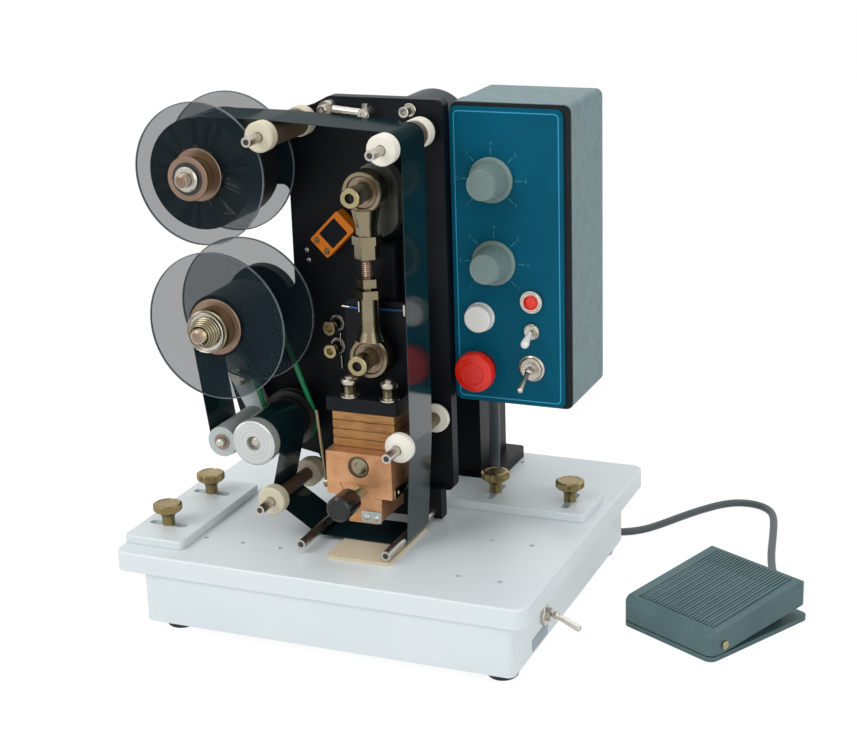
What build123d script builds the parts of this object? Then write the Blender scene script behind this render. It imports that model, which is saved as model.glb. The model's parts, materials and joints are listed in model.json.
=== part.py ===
from build123d import *
import os
from math import asin, atan2, cos, degrees, hypot, pi, radians, sin, tan

# Date coding machine: a ribbon hot-stamp coder on a sheet-steel base, with a
# foot switch. Machine frame: X from the middle of the base, Y from its front
# edge to the back, Z up from the surface it stands on. Millimetres.

# Base and its plates
PLATE_W, PLATE_D, PLATE_T, PLATE_R, PLATE_EDGE = 310.0, 277.0, 14.5, 9.0, 1.6
PLATE_TOP = 58.5
BOX_X0, BOX_X1, BOX_Y0, BOX_Y1, BOX_R = -133.0, 146.0, 2.0, 250.0, 5.0
FOOT_H, FOOT_R, FOOT_TAPER = 7.5, 13.0, 2.5
FOOT_XS, FOOT_YS = (-114.0, 132.0), (20.0, 232.0)
HOLE_R = 1.9
FIXTURE_HOLES = [(x, y) for x in (94.0, 124.0) for y in (39.0, 103.0)]
SPARE_HOLES = [(-103.0, 43.0), (-73.0, 43.0), (-43.0, 43.0), (-74.5, 107.5), (61.8, 255.5)]
GUIDE_L, GUIDE_W, GUIDE_T, GUIDE_GAP, GUIDE_R, GUIDE_EDGE = 119.0, 47.0, 6.0, 0.2, 3.5, 1.0
LEFT_GUIDE_Y0, REAR_GUIDE_X0, REAR_GUIDE_Y0 = 16.0, 28.0, 152.0
SLOT_L, SLOT_W = 30.0, 6.6
SCREWS_LEFT = [(-134.0, 44.0), (-134.0, 108.0)]
SCREWS_REAR = [(69.7, 176.0), (128.0, 176.0)]
SCREW_R, SCREW_DEPTH = 2.6, 3.6
ANVIL_X0, ANVIL_X1, ANVIL_Y0, ANVIL_Y1, ANVIL_T, ANVIL_R = -4.5, 43.5, 37.0, 107.0, 2.5, 4.0

# Upright plate and what stands behind it
WALL_Y0, WALL_T = 132.0, 10.0
WALL_Y1 = WALL_Y0 + WALL_T
WALL_X1, WALL_TOP, WALL_BOTTOM = 54.0, 365.0, 80.0
SUPPLY_BOSS_R, TAKEUP_BOSS_R = 22.0, 27.0
FOOT_BAR_X0, FOOT_BAR_X1, FOOT_BAR_T, FOOT_BAR_Z0, FOOT_BAR_Z1 = -32.0, 48.0, 10.0, 61.0, 84.0
COL_X0, COL_X1, COL_Y0, COL_Y1, COL_TOP = 18.0, 47.0, 205.0, 260.0, 345.0
FLANGE_X0, FLANGE_X1, FLANGE_Y0, FLANGE_Y1, FLANGE_T = 6.0, 59.0, 203.0, 271.0, 8.0
HOUSING_X0, HOUSING_X1, HOUSING_Z0, HOUSING_Z1 = 20.0, 45.0, 160.0, 300.0
MOTOR_X, MOTOR_Z, MOTOR_R = 24.0, 335.0, 28.0

# Reels, given by their axes in X and Z
SUPPLY_X, SUPPLY_Z, SUPPLY_R, ROLL_R = -101.0, 319.6, 50.0, 39.0
TAKEUP_X, TAKEUP_Z, TAKEUP_R, WOUND_R = -95.5, 211.2, 53.5, 22.5
DISC_T, DISC_Y0, DISC_Y1 = 1.5, 65.0, 111.0
SPINDLE_R, SUPPLY_SPINDLE_Y0, TAKEUP_SPINDLE_Y0 = 5.0, 41.0, 38.0

# Feed unit
FEED_X, FEED_Z, FEED_R, KNOB_R, FEED_PULLEY_R = -67.2, 129.7, 16.3, 16.8, 21.0
KNOB_Y0, KNOB_Y1, FEED_Y1 = 56.5, 66.3, 111.0
TAKEUP_PULLEY_R = 19.0
BELT_R, BELT_Y, BELT_INSET = 2.0, 117.0, 1.5
PINCH_X, PINCH_Z, PINCH_R, PINCH_Y0, PINCH_Y1 = -95.4, 126.0, 11.2, 62.0, 111.0
PINCH_PIVOT_X, PINCH_PIVOT_Z, PINCH_SHAFT_R = -110.0, 155.0, 3.0
PINCH_TAIL_X, PINCH_TAIL_Z, PINCH_ARM_Y0, PINCH_ARM_T = -120.0, 173.0, 123.0, 4.0

# Guide rollers and rods, given by their axes in X and Z; each roller's barrel and rear collar
GUIDES = {"upper_left": (-48.0, 349.3, 9.2, 16.0), "upper_right": (41.0, 344.5, 9.2, 16.0),
          "lower_right": (44.0, 137.5, 4.8, 6.0), "lower_left": (-55.3, 87.4, 4.8, 16.0)}
COLLAR_R, COLLAR_Y0, COLLAR_Y1 = 10.5, 55.0, 129.5
FRONT_COLLAR_T = 9.0
RODS = [(-24.4, 65.7), (40.5, 65.7)]
SHAFT_R, ROD_R, SHAFT_Y0 = 3.5, 3.5, 38.0
RUN_GAP = 0.3

# Ribbon
RIBBON_Y0, RIBBON_Y1, RIBBON_T, RIBBON_LIFT = 67.0, 106.0, 0.3, 0.35

# Crank, connecting rod and print head
CRANK_X, CRANK_Z, CRANK_R, THROW = 11.6, 302.0, 15.9, 6.5
CRANK_LOW, CRANK_Y0, CRANK_Y1 = 14.0, 110.0, 121.0
ROD_Y, ROD_LOW_Z, EYE_R, EYE_T = 92.0, 191.0, 15.0, 12.0
BOLT_HEAD_R, BOLT_HEAD_Y0, BOLT_HEAD_T = 7.0, 71.0, 8.0
HEAD_X0, HEAD_X1 = -13.3, 36.5
HEAD_MID = (HEAD_X0 + HEAD_X1) / 2
SLIDE_Y0, SLIDE_Y1, CARRIAGE_TOP = 104.0, 120.0, 228.0
SHELF_Y0, SHELF_Z0, SHELF_Z1 = 75.0, 155.0, 165.0
WAY_W, WAY_NECK, WAY_GAP = 26.0, 18.0, 0.4
BOARD_Y0, BOARD_Y1, BOARD_Z0, BOARD_COUNT = 73.0, 103.0, 129.0, 4
HEATER_Y0, HEATER_Y1, HEATER_Z0, HEATER_Z1 = 62.0, 103.0, 97.0, 129.0
TAIL_X0, TAIL_X1, TAIL_TOP, TAIL_NECK = -3.3, 27.4, 105.5, 5.0
HOLDER_X0, HOLDER_X1, HOLDER_Z0, HOLDER_Y1 = -4.0, 28.0, 76.0, 100.0
HANDLE_X, HANDLE_Z, HANDLE_R, HANDLE_Y0, HANDLE_Y1 = 12.0, 101.0, 9.0, 25.0, 45.0
LEVELLERS = [(0.0, 78.4), (30.0, 78.4)]

# Control box
CB_X0, CB_X1, CB_Y0, CB_Y1, CB_Z0, CB_Z1 = 55.0, 142.0, 143.0, 214.0, 148.0, 363.0
CB_R, PANEL_T, PANEL_R, PANEL_GAP = 5.0, 3.0, 5.0, 5.0
FRONT = CB_Y0 - PANEL_T
KNOBS = {"temperature_knob": (85.0, 310.0), "speed_knob": (86.0, 251.5)}
KNOB_SKIRT_R, KNOB_BODY_R, KNOB_H, KNOB_FLUTES, FLUTE_R = 17.0, 12.6, 17.0, 18, 0.9
POWER_X, POWER_Z, MODE_X, MODE_Z = 113.0, 177.0, 113.5, 204.0
TOGGLE_OUT = {"power_toggle": 6.3, "mode_toggle": 4.3}
TOGGLE_TILT = 25.0
LAMP_X, LAMP_Z, FUSE_X, FUSE_Z = 114.0, 226.0, 75.0, 211.5
STOP_X, STOP_Z, STOP_R, STOP_STEM_R, STOP_TRAVEL = 74.0, 174.0, 14.5, 9.0, 5.0
SIDE_Y, SIDE_Z = 64.0, 27.0

# Foot switch, turned about Z, with its front left corner on the floor
PEDAL_X, PEDAL_Y, PEDAL_TURN = 185.0, 119.0, -28.0
PEDAL_W, PEDAL_L, PEDAL_WALL, PEDAL_R = 84.0, 99.0, 2.6, 6.0
TRAY_L, TRAY_T = 102.0, 3.5
PEDAL_SIDE = [(0.0, 4.4), (14.0, 4.4), (PEDAL_L, 13.5), (PEDAL_L, 28.0), (93.0, 32.5), (7.0, 21.0),
              (0.0, 16.5)]
PIN_Y, PIN_Z, PIN_R = 13.0, 10.0, 2.5
RIB_COUNT, RIB_W, RIB_H, RIB_Y0, RIB_Y1 = 13, 2.4, 1.0, 12.0, 72.0

# Cord of the foot switch: section, hidden coil, and the floor route in X and Y
CORD_R, CORD_LIFT = 3.0, 3.2
COIL_X, COIL_Y, COIL_R, COIL_SECTION_R, COIL_LIFT = 50.0, 322.0, 34.0, 8.2, 8.5
GLAND_X, GLAND_Z, GLAND_R, GLAND_L = 112.0, 26.0, 6.0, 12.0
NEAR_ROUTE = [(112.0, 262.0, 26.0), (112.0, 273.0, 26.0), (111.5, 284.0, 22.5),
              (108.5, 294.5, 16.5), (101.5, 302.0, 11.0), (90.6, 307.2, 8.5)]
FAR_ROUTE = [(80.0, 292.0), (92.0, 281.0), (107.0, 271.5), (124.0, 267.2), (140.5, 269.8),
             (154.5, 280.0), (165.5, 297.0), (176.0, 316.5), (187.7, 335.2), (198.8, 349.4),
             (208.3, 356.8), (219.0, 359.5), (229.8, 357.2), (238.5, 350.4), (244.1, 339.8),
             (248.8, 322.4), (254.6, 297.1), (261.6, 268.7), (269.0, 245.7), (276.0, 229.1),
             (279.1, 215.5), (277.5, 203.6), (272.4, 194.1)]

# Lead from the control box down to the base, held along the column
LEAD_R = 4.0
LEAD_ROUTE = [(64.0, 190.0, 148.0), (64.0, 190.0, 136.0), (63.0, 194.0, 122.0), (60.5, 201.0, 108.0),
              (58.0, 207.0, 94.0), (56.5, 210.0, 82.0), (56.0, 210.6, 74.0), (56.0, 210.6, 66.5)]

parts = {}
cord_parts = {}


def box(x0, x1, y0, y1, z0, z1):
    return Pos((x0 + x1) / 2, (y0 + y1) / 2, (z0 + z1) / 2) * Box(x1 - x0, y1 - y0, z1 - z0)


def group(shapes):
    """Solids that don't touch, as one node."""
    return Compound([solid for shape in shapes for solid in shape.solids()])


def rod_y(x, z, r, y0, y1):
    """A cylinder along Y."""
    return Pos(x, (y0 + y1) / 2, z) * Rot(90, 0, 0) * Cylinder(r, y1 - y0)


def ring_y(x, z, r, bore, y0, y1):
    return rod_y(x, z, r, y0, y1) - rod_y(x, z, bore, y0 - 1, y1 + 1)


def turned(x, z, profile):
    """A body turned about an axis along Y, from (radius, y) points."""
    face = make_face(Polyline(*[(r, y, 0) for r, y in profile], close=True).edges())
    return Pos(x, 0, z) * revolve(face, Axis.Y)


def turned_up(x, y, profile):
    """A body turned about a vertical axis, from (radius, z) points."""
    face = make_face(Polyline(*[(r, 0, z) for r, z in profile], close=True).edges())
    return Pos(x, y, 0) * revolve(face, Axis.Z)


def hex_up(x, y, across, z0, z1):
    """A hexagon prism standing up, by its width across flats."""
    prism = extrude(RegularPolygon(across / 2, 6, major_radius=False, rotation=30), amount=z1 - z0)
    return Pos(x, y, z0) * prism


def plate_y(points, y0, y1):
    """A plate in the XZ plane from (x, z) corners."""
    face = make_face(Polyline(*[(px, y0, pz) for px, pz in points], close=True).edges())
    return extrude(face, amount=y1 - y0, dir=(0, 1, 0))


def link_plate(first, second, y0, y1):
    """A plate with two round ends, each given as (x, z, radius)."""
    (x0, z0, r0), (x1, z1, r1) = first, second
    span = hypot(x1 - x0, z1 - z0)
    line, lean = atan2(z1 - z0, x1 - x0), asin((r0 - r1) / span)
    corners = []
    for side in (1, -1):
        a = line + side * (pi / 2 - lean)
        ends = [(x0 + r0 * cos(a), z0 + r0 * sin(a)), (x1 + r1 * cos(a), z1 + r1 * sin(a))]
        corners += ends if side == 1 else ends[::-1]
    web = plate_y(corners, y0, y1)
    return web + rod_y(x0, z0, r0, y0, y1) + rod_y(x1, z1, r1, y0, y1)


def soften(shape, corners):
    """Rounds the edges along Y that lie nearest to (x, z), each with its radius."""
    for x, z, r in corners:
        edges = shape.edges().filter_by(Axis.Y)
        nearest = edges.sort_by(lambda e: hypot(e.center().X - x, e.center().Z - z))[0]
        shape = fillet(nearest, r)
    return shape


def vertical_edges(shape):
    return shape.edges().filter_by(Axis.Z)


def top_edges(shape):
    return shape.faces().sort_by(Axis.Z)[-1].edges()


def wrap(circles, y):
    """The path of a band over circles (x, z, r, side): side 1 has the centre on its left."""
    tangents = []
    for (x0, z0, r0, s0), (x1, z1, r1, s1) in zip(circles, circles[1:]):
        along = atan2(z1 - z0, x1 - x0)
        along -= asin((s1 * r1 - s0 * r0) / hypot(x1 - x0, z1 - z0))
        nx, nz = -sin(along), cos(along)
        tangents.append(((x0 - s0 * r0 * nx, z0 - s0 * r0 * nz), (x1 - s1 * r1 * nx, z1 - s1 * r1 * nz)))
    edges = []
    for i, (leave, reach) in enumerate(tangents):
        edges.append(Line((leave[0], y, leave[1]), (reach[0], y, reach[1])))
        if i + 1 < len(tangents):
            edges.append(arc_on(circles[i + 1], reach, tangents[i + 1][0], y))
    return edges


def arc_on(circle, start, end, y):
    """The arc of a circle from one point to the next, the way the band turns."""
    x, z, r, side = circle
    a0 = atan2(start[1] - z, start[0] - x)
    sweep_angle = (atan2(end[1] - z, end[0] - x) - a0) % (2 * pi)
    if side < 0:
        sweep_angle -= 2 * pi
    mid = a0 + sweep_angle / 2
    return ThreePointArc((start[0], y, start[1]), (x + r * cos(mid), y, z + r * sin(mid)),
                         (end[0], y, end[1]))


def make_base():
    """Sheet-steel box with its thick top plate and four rubber feet."""
    body = box(BOX_X0, BOX_X1, BOX_Y0, BOX_Y1, FOOT_H, PLATE_TOP - PLATE_T)
    parts["base_box"] = fillet(vertical_edges(body), BOX_R)
    top = box(-PLATE_W / 2, PLATE_W / 2, 0, PLATE_D, PLATE_TOP - PLATE_T, PLATE_TOP)
    top = fillet(vertical_edges(top), PLATE_R)
    top = fillet(top_edges(top), PLATE_EDGE)
    for x, y in FIXTURE_HOLES + SPARE_HOLES:
        top -= Pos(x, y, PLATE_TOP) * Cylinder(HOLE_R, 20)
    for x, y in SCREWS_LEFT + SCREWS_REAR:
        top -= Pos(x, y, PLATE_TOP) * Cylinder(SCREW_R + 0.05, 12)
    parts["base_plate"] = top
    profile = [(0, 0), (FOOT_R - FOOT_TAPER - 1, 0), (FOOT_R - FOOT_TAPER, 1), (FOOT_R, FOOT_H), (0, FOOT_H)]
    parts["feet"] = group([turned_up(x, y, profile) for x in FOOT_XS for y in FOOT_YS])


def guide(screws, along_x):
    z0 = PLATE_TOP + GUIDE_GAP
    x0, y0 = (-PLATE_W / 2, LEFT_GUIDE_Y0) if along_x else (REAR_GUIDE_X0, REAR_GUIDE_Y0)
    w, d = (GUIDE_W, GUIDE_L) if along_x else (GUIDE_L, GUIDE_W)
    body = fillet(vertical_edges(box(x0, x0 + w, y0, y0 + d, z0, z0 + GUIDE_T)), GUIDE_R)
    body = fillet(top_edges(body), GUIDE_EDGE)
    for x, y in screws:
        slot = SlotOverall(SLOT_L, SLOT_W, rotation=0 if along_x else 90)
        body -= Pos(x, y, z0 - 1) * extrude(slot, amount=GUIDE_T + 2)
    return body


def thumb_screw(x, y):
    """A flared brass thumb screw whose shoulder stands just off the guide."""
    z = PLATE_TOP + GUIDE_T + 0.5
    profile = [(0, z - SCREW_DEPTH - 4), (SCREW_R, z - SCREW_DEPTH - 4), (SCREW_R, z), (4.6, z), (4.6, z + 5),
               (6.4, z + 8.5), (9.8, z + 10.5), (10.5, z + 11.2), (10.5, z + 15), (9.6, z + 16), (0, z + 16)]
    return turned_up(x, y, profile)


def make_guides():
    parts["left_guide_plate"] = guide(SCREWS_LEFT, True)
    parts["rear_guide_plate"] = guide(SCREWS_REAR, False)
    parts["thumb_screws"] = group([thumb_screw(x, y) for x, y in SCREWS_LEFT + SCREWS_REAR])
    pad = box(ANVIL_X0, ANVIL_X1, ANVIL_Y0, ANVIL_Y1, PLATE_TOP, PLATE_TOP + ANVIL_T)
    parts["anvil_pad"] = fillet(vertical_edges(pad), ANVIL_R)


def make_upright():
    """The plate that carries the mechanism, with an arm out to each reel, and its supports."""
    body = plate_y([(-66, 120), (-46, WALL_BOTTOM), (WALL_X1, WALL_BOTTOM), (WALL_X1, WALL_TOP),
                    (-32, WALL_TOP), (-45, 358.5), (-66, 352)], WALL_Y0, WALL_Y1)
    upper = plate_y([(-45, 358.5), (SUPPLY_X, SUPPLY_Z + SUPPLY_BOSS_R), (SUPPLY_X, SUPPLY_Z - SUPPLY_BOSS_R),
                     (-65, 301), (-50, 301)], WALL_Y0, WALL_Y1)
    lower = plate_y([(-50, 224), (-93, 224), (-122.5, 209), (-128, 160), (-117, 118), (-96, 104),
                     (-50, 96)], WALL_Y0, WALL_Y1)
    wall = body + upper + rod_y(SUPPLY_X, SUPPLY_Z, SUPPLY_BOSS_R, WALL_Y0, WALL_Y1)
    wall += lower + rod_y(TAKEUP_X, TAKEUP_Z, TAKEUP_BOSS_R, WALL_Y0, WALL_Y1)
    rounds = [(-66, 301, 6), (-66, 224, 5), (WALL_X1, WALL_TOP, 5), (WALL_X1, WALL_BOTTOM, 5),
              (-32, WALL_TOP, 8), (-117, 118, 9), (-46, WALL_BOTTOM, 6)]
    parts["main_plate"] = soften(wall, rounds)
    column = box(COL_X0, COL_X1, COL_Y0, COL_Y1, PLATE_TOP, COL_TOP)
    column += fillet(vertical_edges(box(FLANGE_X0, FLANGE_X1, FLANGE_Y0, FLANGE_Y1, PLATE_TOP,
                                        PLATE_TOP + FLANGE_T)), 4)
    column += box(HOUSING_X0, HOUSING_X1, WALL_Y1, COL_Y0, HOUSING_Z0, HOUSING_Z1)
    parts["column"] = column
    profile = [(0, WALL_Y1), (MOTOR_R, WALL_Y1), (MOTOR_R, 188), (MOTOR_R - 3, 192), (18, 192), (17, 197),
               (0, 197)]
    parts["motor"] = turned(MOTOR_X, MOTOR_Z, profile)


def make_spindles():
    """Every fixed shaft that carries a reel, a roller or the film, and the pinch lever's screw."""
    shafts = [rod_y(SUPPLY_X, SUPPLY_Z, SPINDLE_R, SUPPLY_SPINDLE_Y0, WALL_Y0),
              rod_y(TAKEUP_X, TAKEUP_Z, SPINDLE_R, TAKEUP_SPINDLE_Y0, WALL_Y0),
              rod_y(FEED_X, FEED_Z, SPINDLE_R, KNOB_Y0 + 4, WALL_Y0)]
    shafts += [rod_y(x, z, SHAFT_R, SHAFT_Y0, WALL_Y0) for x, z, *_ in GUIDES.values()]
    shafts += [rod_y(x, z, ROD_R, SHAFT_Y0, WALL_Y0 - FOOT_BAR_T) for x, z in RODS]
    pivot = rod_y(PINCH_PIVOT_X, PINCH_PIVOT_Z, PINCH_SHAFT_R, PINCH_ARM_Y0 - 1, WALL_Y0)
    pivot += rod_y(PINCH_PIVOT_X, PINCH_PIVOT_Z, 7, PINCH_ARM_Y0 - 4, PINCH_ARM_Y0 - RUN_GAP)
    parts["spindles"] = group(shafts + [pivot])


def reel_discs(x, z, r):
    bore = SPINDLE_R + RUN_GAP
    return group([ring_y(x, z, r, bore, y, y + DISC_T) for y in (DISC_Y0, DISC_Y1)])


def make_reels():
    """Both reels: two clear discs each, the ribbon between them and the cap in front."""
    bore = SPINDLE_R + RUN_GAP
    y0, y1 = DISC_Y0 + DISC_T, DISC_Y1
    parts["supply_discs"] = reel_discs(SUPPLY_X, SUPPLY_Z, SUPPLY_R)
    parts["supply_roll"] = ring_y(SUPPLY_X, SUPPLY_Z, ROLL_R, bore, y0, y1)
    cap = [(bore, DISC_Y0), (18.5, DISC_Y0), (18.5, DISC_Y0 - 2), (13, DISC_Y0 - 2), (13, 51.5), (15.4, 51.5),
           (15.4, 49.5), (8, 49.5), (8, 46), (bore, 46)]
    parts["supply_cap"] = turned(SUPPLY_X, SUPPLY_Z, cap)
    parts["takeup_discs"] = reel_discs(TAKEUP_X, TAKEUP_Z, TAKEUP_R)
    parts["takeup_core"] = ring_y(TAKEUP_X, TAKEUP_Z, WOUND_R, bore, y0, y1)
    cap = [(bore, DISC_Y0), (20.3, DISC_Y0), (20.3, DISC_Y0 - 2), (15.6, DISC_Y0 - 2), (15.6, 50), (14.5, 50),
           (14.5, 46.5), (13, 46.5), (13, 49), (bore + 3, 49), (bore + 3, 42), (bore, 42)]
    parts["takeup_cap"] = turned(TAKEUP_X, TAKEUP_Z, cap)


def pulley(x, z, r):
    """A grooved pulley: the belt's centre line runs a little below its rim."""
    bore = SPINDLE_R + RUN_GAP
    groove = r - BELT_INSET - BELT_R - RUN_GAP
    profile = [(bore, BELT_Y - 4), (r, BELT_Y - 4), (r, BELT_Y - 3), (groove, BELT_Y - 2.4),
               (groove, BELT_Y + 2.4), (r, BELT_Y + 3), (r, BELT_Y + 4), (bore, BELT_Y + 4)]
    return turned(x, z, profile)


def belt():
    """The closed round belt over both pulleys, as a swept loop."""
    pulleys = [(FEED_X, FEED_Z, FEED_PULLEY_R - BELT_INSET, 1),
               (TAKEUP_X, TAKEUP_Z, TAKEUP_PULLEY_R - BELT_INSET, 1)]
    edges = wrap(pulleys + pulleys, BELT_Y)[:4]
    start = Plane(origin=edges[0] @ 0, z_dir=edges[0] % 0)
    return sweep(start * Circle(BELT_R), path=Wire(edges))


def make_feed():
    """Feed roller with its knob and pulley, the belt, and the sprung pinch lever."""
    bore = SPINDLE_R + RUN_GAP
    parts["feed_roller"] = ring_y(FEED_X, FEED_Z, FEED_R, bore, KNOB_Y1, FEED_Y1)
    parts["feed_pulley"] = pulley(FEED_X, FEED_Z, FEED_PULLEY_R) + ring_y(
        FEED_X, FEED_Z, 9, bore, FEED_Y1, BELT_Y - 4)
    knob = turned(FEED_X, FEED_Z, [(0, KNOB_Y0), (KNOB_R - 1, KNOB_Y0), (KNOB_R, KNOB_Y0 + 1),
                                   (KNOB_R, KNOB_Y1 - 0.6), (KNOB_R - 0.6, KNOB_Y1), (bore, KNOB_Y1),
                                   (bore, KNOB_Y0 + 3.5), (0, KNOB_Y0 + 3.5)])
    parts["feed_knob"] = knob
    parts["takeup_pulley"] = pulley(TAKEUP_X, TAKEUP_Z, TAKEUP_PULLEY_R)
    parts["drive_belt"] = belt()
    y0, y1 = PINCH_ARM_Y0, PINCH_ARM_Y0 + PINCH_ARM_T
    pivot = (PINCH_PIVOT_X, PINCH_PIVOT_Z, 10)
    arm = link_plate((PINCH_X, PINCH_Z, 9), pivot, y0, y1)
    arm += link_plate(pivot, (PINCH_TAIL_X, PINCH_TAIL_Z, 6), y0, y1)
    arm -= rod_y(PINCH_PIVOT_X, PINCH_PIVOT_Z, PINCH_SHAFT_R + RUN_GAP, y0 - 1, y1 + 1)
    arm += rod_y(PINCH_X, PINCH_Z, PINCH_SHAFT_R, PINCH_Y0 - 4, y0 + 1)
    parts["pinch_arm"] = arm
    parts["pinch_roller"] = ring_y(PINCH_X, PINCH_Z, PINCH_R, PINCH_SHAFT_R + RUN_GAP, PINCH_Y0, PINCH_Y1)


def make_guide_rollers():
    """Nylon rollers: a barrel that the film runs on, between a front and a rear collar."""
    bore = SHAFT_R + RUN_GAP
    front = COLLAR_Y0 + FRONT_COLLAR_T
    for name, (x, z, barrel, rear_t) in GUIDES.items():
        rear = COLLAR_Y1 - rear_t
        profile = [(bore, COLLAR_Y0), (COLLAR_R - 1, COLLAR_Y0), (COLLAR_R, COLLAR_Y0 + 1), (COLLAR_R, front),
                   (barrel, front + 1.5), (barrel, rear), (COLLAR_R, rear + 2), (COLLAR_R, COLLAR_Y1),
                   (bore, COLLAR_Y1)]
        parts["guide_roller_" + name] = turned(x, z, profile)


def rod_eye(z, bore):
    """A rod end: a ring with a raised race, and a bore or none."""
    y0, y1 = ROD_Y - EYE_T / 2, ROD_Y + EYE_T / 2
    profile = [(bore, y0 - 1), (8.2, y0 - 1), (8.2, y0 + 1.5), (11, y0 + 1.5), (11.6, y0), (EYE_R - 1, y0),
               (EYE_R, y0 + 1), (EYE_R, y1 - 1), (EYE_R - 1, y1), (11.6, y1), (11, y1 - 1.5), (8.2, y1 - 1.5),
               (8.2, y1 + 1), (bore, y1 + 1)]
    return turned(CRANK_X, z, profile)


def connecting_rod():
    """Two rod ends and a turnbuckle: necks, hexagon nuts and the threaded stud between them."""
    top = CRANK_Z + THROW
    upper = [(0, top - 12), (10.2, top - 12), (7.6, 284), (7.3, 272), (0, 272)]
    lower = [(0, 234), (7.3, 234), (7.3, 214), (7.8, 210), (10.4, ROD_LOW_Z + 12), (0, ROD_LOW_Z + 12)]
    link = turned_up(CRANK_X, ROD_Y, upper) + turned_up(CRANK_X, ROD_Y, lower)
    link -= rod_y(CRANK_X, top, EYE_R - 2.5, ROD_Y - 20, ROD_Y + 20)
    link -= rod_y(CRANK_X, ROD_LOW_Z, EYE_R - 2.5, ROD_Y - 20, ROD_Y + 20)
    link += rod_eye(top, SHAFT_R + RUN_GAP) + rod_eye(ROD_LOW_Z, SHAFT_R)
    for across, z0, z1 in ((18, 272, 278), (15.5, 262, 272), (15.5, 242, 248), (18, 234, 240)):
        link += hex_up(CRANK_X, ROD_Y, across, z0, z1)
    link += Pos(CRANK_X, ROD_Y, 252) * Cylinder(4, 24)
    bolt = rod_y(CRANK_X, ROD_LOW_Z, SHAFT_R, BOLT_HEAD_Y0, SLIDE_Y0 - 0.4)
    return link + bolt + bolt_head(ROD_LOW_Z)


def bolt_head(z):
    """A socket cap head on its spacer."""
    y0, y1 = BOLT_HEAD_Y0, BOLT_HEAD_Y0 + BOLT_HEAD_T
    head = rod_y(CRANK_X, z, BOLT_HEAD_R, y0, y1)
    head += rod_y(CRANK_X, z, 5.6, y1, ROD_Y - EYE_T / 2 - 1 - RUN_GAP)
    hexagon = extrude(RegularPolygon(3, 6), amount=4)
    return head - Pos(CRANK_X, y0 - 0.5, z) * Rot(-90, 0, 0) * hexagon


def make_drive():
    """Crank web with its pin, and the connecting rod down to the carriage."""
    top = CRANK_Z + THROW
    web = link_plate((CRANK_X, top, CRANK_R), (CRANK_X, CRANK_Z - CRANK_LOW, CRANK_R + 0.001),
                     CRANK_Y0, CRANK_Y1)
    web += rod_y(CRANK_X, CRANK_Z, 9, CRANK_Y1, WALL_Y0 - 0.5)
    web += rod_y(CRANK_X, top, SHAFT_R, BOLT_HEAD_Y0, CRANK_Y0)
    web += rod_y(CRANK_X, top, 7, ROD_Y + EYE_T / 2 + 1 + RUN_GAP, CRANK_Y0)
    parts["crank"] = web + bolt_head(top)
    parts["connecting_rod"] = connecting_rod()


def dovetail(x0, x1, neck, y0, y1, z0, z1):
    """A male dovetail along Y: wide at the top, narrower by the neck at each side below."""
    return plate_y([(x0, z1), (x1, z1), (x1 - neck, z0), (x0 + neck, z0)], y0, y1)


def way(half_wide, half_neck, z0, z1):
    """The T of the vertical slide way, seen from above."""
    return box(HEAD_MID - half_wide, HEAD_MID + half_wide, SLIDE_Y0 + 4, SLIDE_Y0 + 10, z0, z1) + box(
        HEAD_MID - half_neck, HEAD_MID + half_neck, SLIDE_Y0 + 9, WALL_Y0, z0, z1)


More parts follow.
